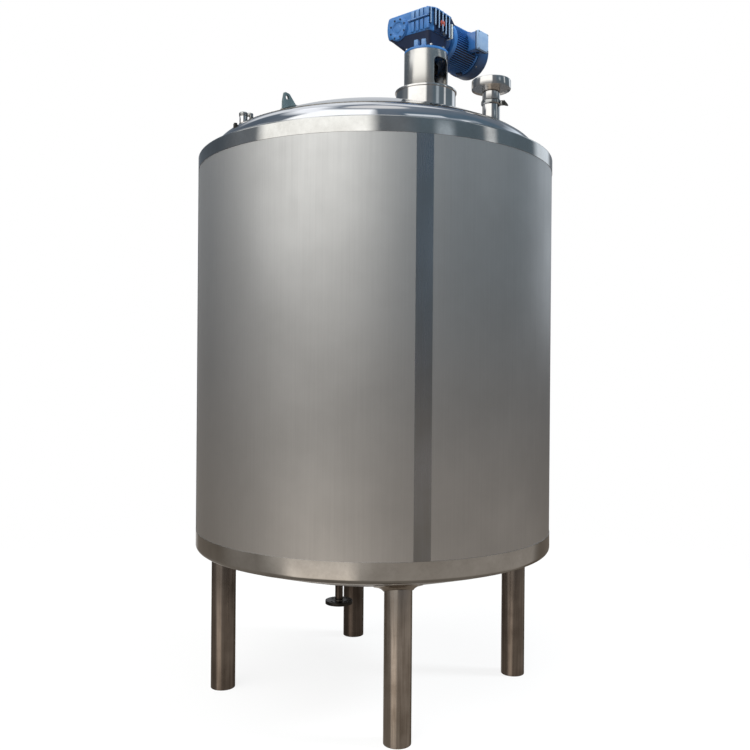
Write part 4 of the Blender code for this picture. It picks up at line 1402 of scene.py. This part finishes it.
@dataclass
class DrivePart:
    """A part of the gear motor, in the drive's own frame: x runs along the motor, y across it."""

    finishes: Finishes

    def piece(self, name: str, shape: BMesh, material: Material,
              matrix: Matrix = DRIVE_FRAME, slot: str = "blue",
              replaced: Iterable[str] = ()) -> Object:
        """Turn a mesh into a piece of the gear motor.

        Args:
            name: The piece's name.
            shape: Its mesh, which is freed here.
            material: Its finish.
            matrix: The frame in which the mesh was made.
            slot: The record's material slot; not used.
            replaced: Names of the plain nodes for which it stands.

        Returns:
            The new object.
        """
        return to_object(name, shape, material, replaced=replaced, matrix=matrix)


@dataclass
class GearUnit(DrivePart):
    """The blue gear unit: output flange, neck, ribbed housing, cover and plugs.

    Its left end is the one at the camera's left.
    """

    flange_radius: float = 0.1065
    flange_bottom: float = 3.0413
    flange_top: float = 3.0535
    nut_circle: float = 0.095
    web_circle: float = 0.086
    web_directions: tuple[float, ...] = (-33.5, -10.3, 146.5, 169.7)
    half_length: float = 0.080
    right: float = -0.125
    left: float = 0.153
    bulge: float = 0.013
    near_corner: float = 0.045
    low_right: float = 3.118
    low_left: float = 3.132
    top_near: float = 3.249
    top_far: float = 3.227
    corner_drop: float = 0.012
    corner_reach: float = 0.075
    neck_low: tuple[Point, Point] = ((-0.0625, -0.098), (0.078, 0.058))
    face_recess: float = 0.0055
    rib_places: tuple[float, ...] = (-0.0057, -0.0345, -0.0613)
    rib_half: float = 0.0100
    pad: Point = (-0.1060, -0.0775)
    ledge: float = 3.190
    fin_places: tuple[float, ...] = (-0.0660, -0.0445, -0.0190, 0.0095, 0.0350, 0.0615)
    fin_half: float = 0.0034
    fin_depth: float = 0.013
    boss_radius: float = 0.056
    cover_radius: float = 0.052
    cover_place: Point = (0.0825, 3.171)
    bolt_circle: float = 0.0455

    def build(self) -> None:
        """Make every piece of the gear unit."""
        self.flange()
        self.housing()
        self.face()
        self.neck()
        self.side_fins()
        self.gaps()
        self.cover()
        self.plugs()

    def top(self, x: float) -> float:
        """Return the height of the sloping top at a distance along the motor."""
        share = (x + self.half_length) / (2.0 * self.half_length)
        return self.top_near + (self.top_far - self.top_near) * share

    def crown(self, x: float, y: float) -> float:
        """Return the top's height at a place, with the near corner drawn down."""
        reach = math.hypot(x + self.half_length, y - self.right)
        return self.top(x) - self.corner_drop * max(1.0 - reach / self.corner_reach, 0.0)

    def base(self, y: float) -> float:
        """Return the height of the sloping base at a distance across."""
        share = (y - self.right) / (self.left - self.right)
        return self.low_right + (self.low_left - self.low_right) * share

    def right_face(self, x: float) -> float:
        """Return how far out the fins reach, following the rounded near corner."""
        bend = self.near_corner
        inward = bend - self.half_length - x
        if inward <= 0.0:
            return self.right
        return self.right + bend - math.sqrt(max(bend ** 2 - inward ** 2, 0.0))

    def flange(self) -> None:
        """Make the thin round output flange with its ring of nuts and its webs."""
        out, low, high = self.flange_radius, self.flange_bottom, self.flange_top
        profile = [(0.0, high), (out, high), (out, low), (0.0, low)]
        turned_piece("output_flange", rounded_corners(profile, 0.002, 3, False), self.finishes.blue,
                     DRIVE_CENTRE, 112, replaced=("gearbox_flange",), closed=False)
        nuts, webs = bmesh.new(), bmesh.new()
        for index in range(7):
            x, y = polar(self.nut_circle, 12.0 + 45.0 * index, DRIVE_CENTRE)
            add_bolt(nuts, shifted(x, y, high), 0.014, 0.010)
        for direction in self.web_directions:
            x, y = polar(self.web_circle, direction, DRIVE_CENTRE)
            add_box(webs, (-0.012, -0.014, -0.001), (0.012, 0.020, 0.034), 0.005, 3,
                    shifted(x, y, high) @ turned(direction))
        to_object("output_flange_nuts", nuts, self.finishes.zinc)
        # The webs are painted lighter as painted light.
        to_object("output_flange_webs", webs, self.finishes.painted_light_blue)

    def ring(self, shape: BMesh, share: float, inset: float) -> list[BMVert]:
        """Add one level of the housing's outline.

        Args:
            shape: The housing's mesh.
            share: The level, from 0 at the base to 1 at the top.
            inset: How far the outline is drawn in.

        Returns:
            The level's vertices.
        """
        left = self.left + self.bulge * (1.0 - (2.0 * share - 1.0) ** 2) - inset
        near = self.face_recess - self.half_length + inset
        far, right = self.half_length - inset, self.right + self.fin_depth + inset
        corner, small, large = self.near_corner - 0.010, 0.010, 0.014
        points = arc_points((near + corner, right + corner), corner, 180.0, 270.0, 9)
        for centre, radius, start in (((far - small, right + small), small, 270.0),
                                      ((far - large, left - large), large, 0.0),
                                      ((near + large, left - large), large, 90.0)):
            points += arc_points(centre, radius, start, start + 90.0, 5)
        return [shape.verts.new((x, y, self.base(y) + share * (self.crown(x, y) - self.base(y))))
                for x, y in points]

    def housing(self) -> None:
        """Make the housing block, with the lip, the lower ribs and the cover's boss."""
        shape = bmesh.new()
        levels = [(0.0, 0.012), (0.012, 0.006), (0.04, 0.0015), (0.08, 0.0)]
        levels += [(0.08 + 0.82 * i / 8.0, 0.0) for i in range(1, 9)]
        levels += [(0.935, 0.0012), (0.962, 0.0045), (0.984, 0.011), (1.0, 0.022)]
        loft(shape, [self.ring(shape, share, inset) for share, inset in levels])
        self.lip(shape)
        out = -self.half_length
        face = out + self.face_recess + 0.002
        for middle in self.rib_places:
            add_box(shape, (out, middle - self.rib_half, self.base(middle) + 0.010),
                    (face, middle + self.rib_half, self.ledge - 0.006), 0.0035, 3)
        add_box(shape, (out + 0.0012, self.pad[0], self.low_right + 0.012),
                (face, self.pad[1], self.ledge - 0.007), 0.004, 3)
        boss = [(0.0, 0.008), (self.boss_radius, 0.008), (self.boss_radius, 0.0), (0.0, 0.0)]
        spin(shape, rounded_corners(boss, 0.003, 3, False), steps=72, closed=False,
             matrix=shifted(face + 0.0005, *self.cover_place) @ LAID_LEFT)
        self.piece("ribbed_gear_housing", shape, self.finishes.blue, replaced=("gearbox_housing",))

    def lip(self, shape: BMesh) -> None:
        """Add the rounded lip that runs along the top, over the ends of the fins.

        Args:
            shape: The housing's mesh, in the drive's own frame.
        """
        corner, end = self.near_corner, self.half_length - 0.006
        middle = (corner - self.half_length, self.right + corner)
        inside, outside = ([*arc_points(middle, corner - depth, 195.0, 270.0, 8),
                            (end, self.right + depth)] for depth in (0.012, 0.0004))
        sections = []
        for near, far in zip(inside, outside):
            height = self.crown(*far) - 0.0015
            corners = ((*near, height), (*far, height - 0.0055), (*far, height - 0.0100),
                       (*near, height - 0.012))
            sections.append([shape.verts.new(place) for place in corners])
        loft(shape, sections)

    def face(self) -> None:
        """Make the upper ribs, the smooth pad and the long ledge on the face with the cover."""
        shape = bmesh.new()
        out, low, high = -self.half_length, self.ledge + 0.006, self.top(-self.half_length)
        face = out + self.face_recess + 0.002
        for middle in self.rib_places:
            add_box(shape, (out, middle - self.rib_half, low),
                    (face, middle + self.rib_half, high - 0.013), 0.0035, 3)
        add_box(shape, (out, self.pad[0], low), (face, self.pad[1], high - 0.018), 0.005, 3)
        add_box(shape, (out - 0.0050, -0.1040, self.ledge - 0.001),
                (face, 0.0230, self.ledge + 0.005), 0.002, 3)
        # The upper ribs, pad and ledge are painted lighter as painted light.
        self.piece("gear_face_ribs", shape, self.finishes.painted_light_blue)

    def neck(self) -> None:
        """Make the neck that narrows from the housing's base to the output flange."""
        shape = bmesh.new()
        half = self.half_length - 0.004
        wide = ((-half, self.right + 0.018), (half, self.left - 0.006))
        low, steps = self.flange_top, 6
        rings = []
        for level in range(steps + 1):
            share = level / steps
            (near, right), (far, left) = (
                [a + (b - a) * share for a, b in zip(lower, upper)]
                for lower, upper in zip(self.neck_low, wide))
            line = rounded_corners([(near, right), (far, right), (far, left), (near, left)],
                                   0.034 - 0.012 * share, 6)
            rings.append([shape.verts.new((x, y, low + (self.base(y) + 0.002 - low) * share ** 0.9))
                          for x, y in line])
        loft(shape, rings)
        # The neck is painted dark navy as painted shade under the housing.
        self.piece("tapered_gear_neck", shape, self.finishes.painted_shade_blue)

    def side_fins(self) -> None:
        """Make the upright fins on the right in painted shade, their edges in a painted highlight,
        and the low ribs on the top.
        """
        fins, edges = bmesh.new(), bmesh.new()
        half = self.fin_half
        for x in self.fin_places:
            out = self.right_face(x)
            low, high = 3.156 - 0.30 * (x + 0.068), self.crown(x, out) - 0.006
            add_box(fins, (x - half, out + 0.001, low + 0.001),
                    (x + half, self.right + 0.040, high - 0.001), 0.0022)
            add_box(edges, (x - half - 0.0002, out, low), (x + half + 0.0002, out + 0.0042, high),
                    0.0018, 3)
        for index in range(5):
            y = -0.088 + 0.044 * index
            add_box(fins, (-0.058, y - 0.003, self.top_far - 0.010),
                    (0.066, y + 0.003, self.top_far - 0.0005), 0.0022)
        # The fins' sides and the low top ribs are painted dark navy as painted shade.
        self.piece("gear_cooling_fins", fins, self.finishes.painted_shade_blue)
        # The fins' outer edges are painted pale as a painted highlight.
        self.piece("gear_fin_edges", edges, self.finishes.painted_highlight_blue)

    def gaps(self) -> None:
        """Make the shaded grounds between the fins and between the ribs."""
        shape = bmesh.new()
        add_box(shape, (-0.044, self.right + 0.0122, self.low_right + 0.004),
                (0.0790, self.right + 0.030, self.top_far - 0.006), 0.001, 1)
        self.piece("gear_fin_gaps", shape, self.finishes.painted_shade_blue)
        shape = bmesh.new()
        out = self.face_recess - self.half_length - 0.0004
        add_box(shape, (out, -0.0745, self.low_right + 0.018), (-0.070, 0.0080, 3.2325), 0.0004, 1)
        # The ground between the ribs takes the enamel darkened with painted shade.
        self.piece("gear_rib_gaps", shape, self.finishes.painted_half_shade_blue)

    def cover(self) -> None:
        """Make the round bearing cover with its raised rim and ring of bolts."""
        place = DRIVE_FRAME @ shifted(-self.half_length - 0.0003, *self.cover_place) @ LAID_LEFT
        out, dish, rim, back = self.cover_radius, 0.0018, 0.0055, -0.002
        shape = bmesh.new()
        profile = [(0.0, 0.0040), (0.016, 0.0040), (0.019, dish), (0.031, dish), (0.034, rim),
                   (out, rim), (out, back), (0.0, back)]
        spin(shape, rounded_corners(profile, 0.0013, 3, False), steps=72, closed=False)
        self.piece("bearing_cover", shape, self.finishes.blue, place, replaced=("gearbox_cover",))
        bolts = bmesh.new()
        for index in range(8):
            x, y = polar(self.bolt_circle, 22.5 + 45.0 * index)
            add_bolt(bolts, shifted(x, y, 0.0050), 0.0080, 0.0045, False)
        self.piece("bearing_cover_bolts", bolts, self.finishes.painted_shade_blue, place)

    def plugs(self) -> None:
        """Make the red oil plug between the fins and the bare drain plug below it."""
        shape = bmesh.new()
        seat = shifted(0.0125, self.right + 0.013, 3.174) @ LAID_FORWARD
        add_rod(shape, 0.0155, 0.0110, seat, 28, 0.003)
        add_rod(shape, 0.0095, 0.0030, seat @ shifted(0.0, 0.0, 0.0104), 6, 0.001)
        self.piece("red_oil_plug", shape, self.finishes.red)
        shape = bmesh.new()
        add_bolt(shape, shifted(0.034, self.right + 0.0125, 3.131) @ LAID_FORWARD, 0.013, 0.006)
        self.piece("oil_drain_plug", shape, self.finishes.zinc)


@dataclass
class Motor(DrivePart):
    """The blue electric motor: adapter, flange, finned body, fan cowl and terminal box."""

    height: float = 3.147
    core: float = 0.1010
    fin_tip: float = 0.1088
    fin_count: int = 60
    fin_half: float = 0.0017
    adapter_radius: float = 0.088
    adapter_start: float = 0.0803
    adapter_raise: float = 0.010
    plate_box: Box = ((0.0870, -0.1180, 3.124), (0.0980, 0.085, 3.196))
    wedge_line: tuple[Point, ...] = ((0.0806, 3.1960), (0.118, 3.1960), (0.0806, 3.230))
    wedge_place: float = -0.108
    flange_radius: float = 0.111
    flange_start: float = 0.119
    bolt_circle: float = 0.1035
    start: float = 0.133
    cowl_start: float = 0.330
    cowl_radius: float = 0.1145
    end: float = 0.413
    gap: float = 0.0003
    case_box: Box = ((0.242, -0.150, 3.110), (0.327, -0.078, 3.2025))
    gasket_box: Box = ((0.2408, -0.1524, 3.1088), (0.3282, -0.1492, 3.2036))
    lid_box: Box = ((0.240, -0.168, 3.108), (0.329, -0.1524, 3.204))

    def axis(self, x: float) -> Matrix:
        """Return a frame on the motor's axis whose z runs along it, at a distance along it."""
        return DRIVE_FRAME @ shifted(x, 0.0, self.height) @ LAID_RIGHT

    def build(self) -> None:
        """Make every piece of the motor."""
        self.adapter()
        self.flange()
        self.body()
        self.cowl()
        self.terminal_box()

    def adapter(self) -> None:
        """Make the bare aluminium ring and plate against the gear unit and the cone behind them."""
        lift = self.axis(self.adapter_start) @ shifted(-self.adapter_raise, 0.0, 0.0)
        out, thick = self.adapter_radius, 0.015
        ring = bmesh.new()
        spin(ring, rounded_corners([(0.0, thick), (out, thick), (out, 0.0), (0.0, 0.0)], 0.0015, 3,
                                   False), steps=96, closed=False)
        self.piece("bare_adapter_ring", ring, self.finishes.aluminium, lift, "aluminium",
                   ("motor_adapter",))
        plate = bmesh.new()
        add_box(plate, *self.plate_box, 0.003)
        self.piece("square_adapter_plate", plate, self.finishes.chalked, slot="aluminium")
        # The wedge is a dark piece standing in for the shade above the plate: painted shade.
        wedge = bmesh.new()
        add_slab(wedge, self.wedge_line, 0.012, self.wedge_place)
        self.piece("adapter_painted_shade_wedge", wedge, self.finishes.painted_shade_blue)
        cone = bmesh.new()
        length, foot = self.flange_start - self.adapter_start - self.gap, thick + 0.0002
        profile = [(0.0, length), (0.098, length), (0.096, length - 0.006), (0.082, 0.018),
                   (0.082, foot), (0.0, foot)]
        spin(cone, rounded_corners(profile, 0.002, 3, False), steps=96, closed=False)
        self.piece("adapter_cone", cone, self.finishes.blue, lift)

    def flange(self) -> None:
        """Make the motor's flange with its four bolts."""
        depth, out = self.start - self.flange_start - self.gap, self.flange_radius
        shape = bmesh.new()
        ring = [(0.0, depth), (out, depth), (out, 0.0), (0.0, 0.0)]
        spin(shape, rounded_corners(ring, 0.002, 3, False), steps=112, closed=False)
        for index in range(4):
            x, y = polar(self.bolt_circle, 45.0 + 90.0 * index)
            add_bolt(shape, shifted(x, y, 0.0002) @ UPSIDE_DOWN, 0.011, 0.007)
        self.piece("bolted_motor_flange", shape, self.finishes.blue, self.axis(self.flange_start),
                   replaced=("motor_flange",))

    def body(self) -> None:
        """Make the finned stator housing and its two end shields."""
        place = self.axis(self.start)
        length = self.cowl_start - self.start
        core = [(0.0, length), (self.core, length), (self.core, 0.0), (0.0, 0.0)]
        shape = bmesh.new()
        spin(shape, rounded_corners(core, 0.002, 2, False), steps=96, closed=False)
        # The core between the fins is painted dark navy as painted shade under the motor.
        self.piece("motor_core", shape, self.finishes.painted_shade_blue, place, replaced=("motor_body",))
        shields = bmesh.new()
        for low, high in ((0.0, 0.016), (length - 0.012, length)):
            shield = [(0.06, high), (self.fin_tip, high), (self.fin_tip, low), (0.06, low)]
            spin(shields, rounded_corners(shield, 0.0025, 3), steps=96)
        self.piece("motor_end_shields", shields, self.finishes.blue, place)
        fins = bmesh.new()
        for index in range(self.fin_count):
            add_box(fins, (self.core - 0.004, -self.fin_half, 0.012),
                    (self.fin_tip, self.fin_half, length - 0.008), 0.0010, 1,
                    turned(360.0 * index / self.fin_count))
        self.piece("motor_cooling_fins", fins, self.finishes.blue, place)
        boss = bmesh.new()
        add_box(boss, (self.core - 0.002, -0.013, 0.160), (0.1135, 0.013, 0.188), 0.003)
        add_rod(boss, 0.0045, 0.002, shifted(0.1130, 0.0, 0.174) @ LAID_RIGHT, 16, 0.0006)
        self.piece("drain_boss", boss, self.finishes.painted_shade_blue, place)

    def cowl(self) -> None:
        """Make the pressed fan cowl with its round grille."""
        place = self.axis(self.cowl_start)
        depth, out, bend = self.end - self.cowl_start, self.cowl_radius, 0.012
        profile = [(0.0, depth - 0.003), (0.020, depth - 0.003), (0.022, depth), (0.030, depth)]
        for index in range(5):
            inner = 0.034 + 0.0120 * index
            profile += [(inner, depth), (inner + 0.001, depth - 0.006),
                        (inner + 0.005, depth - 0.006), (inner + 0.006, depth)]
        profile += arc_points((out - bend, depth - bend), bend, 88.0, 0.0, 8)
        profile += [(out, 0.010), (out - 0.0016, 0.008), (out - 0.0016, self.gap), (0.0, self.gap)]
        shape = bmesh.new()
        spin(shape, profile, steps=112, closed=False)
        for index in range(12):
            add_box(shape, (0.026, -0.0016, depth - 0.0062), (0.094, 0.0016, depth - 0.0004),
                    0.0006, 1, turned(30.0 * index))
        # The cowl takes the enamel darkened with painted shade.
        self.piece("pressed_fan_cowl", shape, self.finishes.painted_half_shade_blue, place,
                   replaced=("motor_fan_cowl",))
        screws = bmesh.new()
        for index in range(4):
            seat = turned(45.0 + 90.0 * index) @ shifted(out - 0.003, 0.0, 0.014) @ LAID_RIGHT
            add_rod(screws, 0.0045, 0.004, seat, 16, 0.001)
        self.piece("cowl_screws", screws, self.finishes.zinc, place)

    def terminal_box(self) -> None:
        """Make the terminal box: a cast case, a gasket line, a lid with screws and blind glands."""
        case = bmesh.new()
        add_box(case, *self.case_box, 0.006, 3)
        piece = self.piece("terminal_box_case", case, self.finishes.box_blue,
                           replaced=("terminal_box",))
        tool = bmesh.new()
        bore = self.core - 0.0005
        spin(tool, [(0.0, 0.30), (bore, 0.30), (bore, -0.05), (0.0, -0.05)], steps=96, closed=False,
             matrix=self.axis(self.start))
        cut_with(piece, tool)
        gasket = bmesh.new()
        add_box(gasket, *self.gasket_box, 0.0008, 1)
        self.piece("terminal_box_gasket", gasket, self.finishes.rubber)
        lid = bmesh.new()
        add_box(lid, *self.lid_box, 0.0055, 4)
        for x in (0.262, 0.2845, 0.307):
            add_box(lid, (x - 0.004, -0.1683, 3.118), (x + 0.004, -0.1660, 3.194), 0.001)
        # The lid is painted pale as painted light where the side light falls on it.
        self.piece("terminal_box_lid", lid, self.finishes.painted_highlight_blue)
        screws = bmesh.new()
        for x in (0.2475, 0.3215):
            for z in (3.1155, 3.1965):
                add_rod(screws, 0.0038, 0.0012, shifted(x, -0.1672, z) @ LAID_FORWARD, 16, 0.0004)
        self.piece("terminal_box_screws", screws, self.finishes.zinc)
        glands = bmesh.new()
        for y in (-0.132, -0.108):
            add_bolt(glands, shifted(0.285, y, 3.1105) @ UPSIDE_DOWN, 0.016, 0.005, False)
        self.piece("blind_cable_glands", glands, self.finishes.painted_shade_blue)


# Studio


@dataclass(frozen=True)
class RoomLight:
    """One soft patch of light in the room, as the tank mirrors it, or of shade if it is negative.

    Directions go round from the front towards the camera's left, and heights are above the horizon,
    both in degrees.
    """

    left: float
    right: float
    low: float
    high: float
    soft: float
    strength: float
    tint: str = "#FFFFFF"


@dataclass(frozen=True)
class SoftSun:
    """A broad light from far off, which the polished steel doesn't mirror."""

    name: str
    energy: float
    spread: float
    colour: str
    turn: tuple[float, float, float]


@dataclass
class Studio:
    """The camera at the photograph's place, a pale floor and soft light all round."""

    distance: float = 4.0656
    eye: float = 1.486
    pitch: float = -0.08
    roll: float = -0.45
    heading: float = -0.08
    lens: float = 40.13
    sensor: float = 36.0
    floor_radius: float = 6.0
    walls: tuple[tuple[float, str], ...] = (
        (0.0, "#6F6860"), (0.33, "#7D766E"), (0.44, "#87817B"), (0.49, "#7B7A7A"),
        (0.53, "#797C80"), (0.62, "#7C838B"), (0.78, "#76818D"), (0.90, "#7B8794"),
        (0.930, "#8E99A5"), (0.947, "#FBFCFD"), (1.0, "#FFFFFF"),
    )
    patches: tuple[RoomLight, ...] = (
        RoomLight(75.0, 1.5, 9.0, 73.0, 4.0, 1.45, "#FFFEFA"),
        RoomLight(140.0, 75.0, 58.0, 73.0, 4.0, 1.20),
        RoomLight(102.0, 75.0, 24.0, 37.0, 3.0, 1.20),
        RoomLight(66.0, 6.0, -3.0, 7.0, 3.0, 0.16, "#FFFBF4"),
        RoomLight(70.0, 4.0, -16.0, 6.0, 5.0, 0.20, "#FFFBF4"),
        RoomLight(54.0, 11.0, -34.0, -13.0, 4.0, 0.54, "#FFF2E4"),
        RoomLight(62.0, -122.0, -36.0, -9.0, 4.0, 0.13, "#FFF4EA"),
        RoomLight(-14.0, -42.0, -15.0, -3.0, 4.0, -0.05),
        RoomLight(-22.0, -120.0, 4.0, 62.0, 6.0, -0.06, "#FFC9A0"),
        RoomLight(-37.0, -48.0, 13.0, 21.0, 2.5, 0.42, "#E8F1FA"),
        RoomLight(-71.0, -79.0, 10.0, 44.0, 2.0, 0.70),
        RoomLight(-120.0, -146.0, 4.0, 36.0, 4.0, 0.90, "#E4EEF8"),
        RoomLight(-126.0, -176.0, -34.0, 2.0, 6.0, -0.09),
        RoomLight(160.0, 104.0, -20.0, 24.0, 8.0, -0.08),
        RoomLight(150.0, 100.0, 20.0, 52.0, 8.0, -0.06),
        RoomLight(190.0, 170.0, 12.0, 36.0, 5.0, 0.40),
        RoomLight(186.0, 157.0, -30.0, 8.0, 9.0, 0.35),
        RoomLight(182.0, 137.0, 38.0, 68.0, 4.0, 0.80),
        RoomLight(215.0, 182.0, 56.0, 72.0, 4.0, 0.75),
        RoomLight(-25.0, -60.0, 45.0, 53.0, 2.0, 0.80),
        RoomLight(-60.0, -92.0, 41.0, 47.0, 2.0, 0.30),
    )
    suns: tuple[SoftSun, ...] = (
        SoftSun("overhead_light", 1.6, 60.0, "#FFFDF8", (24.0, -14.0, 0.0)),
        SoftSun("side_light", 3.0, 14.0, "#F6FAFF", (0.0, 50.0, -4.0)),
    )

    def build(self) -> None:
        """Set up the whole studio."""
        self.camera()
        self.floor()
        self.world()
        for sun in self.suns:
            self.hang(sun)
        settings = bpy.context.scene.view_settings
        settings.view_transform = "Standard"
        settings.look = "None"

    def camera(self) -> None:
        """Place the camera."""
        data = bpy.data.cameras.new("photo_camera")
        data.lens = self.lens
        data.sensor_width = self.sensor
        data.clip_end = 200.0
        item = bpy.data.objects.new("photo_camera", data)
        item.location = (0.0, -self.distance, self.eye)
        angles = (90.0 + self.pitch, self.roll, self.heading)
        item.rotation_euler = [math.radians(angle) for angle in angles]
        bpy.context.scene.collection.objects.link(item)
        bpy.context.scene.camera = item

    def floor(self) -> None:
        """Lay the pale floor."""
        shape = bmesh.new()
        bmesh.ops.create_circle(shape, cap_ends=True, segments=96, radius=self.floor_radius)
        mesh = bpy.data.meshes.new("studio_floor")
        shape.to_mesh(mesh)
        shape.free()
        mesh.materials.append(FloorFinish().build())
        item = bpy.data.objects.new("studio_floor", mesh)
        bpy.context.scene.collection.objects.link(item)

    def hang(self, sun: SoftSun) -> None:
        """Hang one soft sun."""
        data = bpy.data.lights.new(sun.name, "SUN")
        data.energy = sun.energy
        data.angle = math.radians(sun.spread)
        data.color = linear(sun.colour)[:3]
        item = bpy.data.objects.new(sun.name, data)
        item.visible_glossy = False
        item.rotation_euler = [math.radians(angle) for angle in sun.turn]
        bpy.context.scene.collection.objects.link(item)

    def patch(self, tree: NodeTree, light: RoomLight, around: Node,
              rise: Node) -> Node:
        """Add one patch of light, with soft edges.

        Args:
            tree: The world's node tree.
            light: The patch.
            around: Direction round from the front to the left, in degrees.
            rise: Height above the horizon, in degrees.

        Returns:
            The node that gives the patch's light, from 0 to its strength.
        """
        middle, half = (light.left + light.right) / 2.0, abs(light.left - light.right) / 2.0
        turn = add_node(tree, "ShaderNodeMath", {"operation": "SUBTRACT", 1: middle}, {0: around})
        wrapped = add_node(tree, "ShaderNodeMath", {"operation": "WRAP", 1: 180.0, 2: -180.0},
                           {0: turn})
        away = add_node(tree, "ShaderNodeMath", {"operation": "ABSOLUTE"}, {0: wrapped})
        across, lower, upper = (
            add_node(tree, "ShaderNodeMapRange",
                     limits(edge - light.soft, edge + light.soft, first, last), {"Value": value})
            for value, edge, first, last in ((away, half, light.strength, 0.0),
                                             (rise, light.low, 0.0, 1.0),
                                             (rise, light.high, 1.0, 0.0)))
        band = add_node(tree, "ShaderNodeMath", {"operation": "MULTIPLY"}, {0: lower, 1: upper})
        return add_node(tree, "ShaderNodeMath", {"operation": "MULTIPLY"}, {0: across, 1: band})

    def world(self) -> None:
        """Surround the tank with a soft grey room that shows as plain white behind it."""
        world = bpy.data.worlds.new("studio_room")
        bpy.context.scene.world = world
        world.use_nodes = True
        tree = world.node_tree
        tree.nodes.clear()
        place = add_node(tree, "ShaderNodeTexCoord")
        parts = add_node(tree, "ShaderNodeSeparateXYZ", None,
                         {"Vector": place.outputs["Generated"]})
        left, ahead = (add_node(tree, "ShaderNodeMath", {"operation": "MULTIPLY", 1: -1.0},
                                {0: parts.outputs[axis]}) for axis in ("X", "Y"))
        angle = add_node(tree, "ShaderNodeMath", {"operation": "ARCTAN2"}, {0: left, 1: ahead})
        around = add_node(tree, "ShaderNodeMath", {"operation": "DEGREES"}, {0: angle})
        lift = add_node(tree, "ShaderNodeMath", {"operation": "ARCSINE"}, {0: parts.outputs["Z"]})
        rise = add_node(tree, "ShaderNodeMath", {"operation": "DEGREES"}, {0: lift})
        height = add_node(tree, "ShaderNodeMapRange", limits(-90.0, 90.0, 0.0, 1.0),
                          {"Value": rise})
        ramp = add_node(tree, "ShaderNodeValToRGB", None, {"Fac": height})
        stops = ramp.color_ramp.elements
        stops[0].color, stops[1].color = linear(self.walls[0][1]), linear(self.walls[-1][1])
        for position, code in self.walls[1:-1]:
            stops.new(position).color = linear(code)
        glow = ramp
        for light in self.patches:
            share = self.patch(tree, light, around, rise)
            tinted = add_node(tree, "ShaderNodeVectorMath",
                              {"operation": "SCALE", 0: linear(light.tint)[:3]}, {"Scale": share})
            glow = add_node(tree, "ShaderNodeVectorMath", {"operation": "ADD"},
                            {0: glow, 1: tinted})
        room = add_node(tree, "ShaderNodeBackground", {"Strength": 1.0}, {"Color": glow})
        plain = add_node(tree, "ShaderNodeBackground", {"Strength": 1.0, "Color": WHITE})
        path = add_node(tree, "ShaderNodeLightPath")
        blend = add_node(tree, "ShaderNodeMixShader", None, {0: path, 1: room, 2: plain})
        add_node(tree, "ShaderNodeOutputWorld", None, {"Surface": blend})


def main() -> None:
    """Build the studio and the whole tank, one sub-assembly after the other."""
    logging.basicConfig(level=logging.INFO, format="%(name)s: %(message)s")
    finishes = Finishes()
    Studio().build()
    for assembly in (InsulatedWall(finishes), Vessel(finishes), Undercarriage(finishes),
                     HeadFittings(finishes), DriveMounting(finishes), Agitator(finishes),
                     GearUnit(finishes), Motor(finishes)):
        log.info("building %s", type(assembly).__name__)
        assembly.build()


if __name__ == "__main__":
    main()
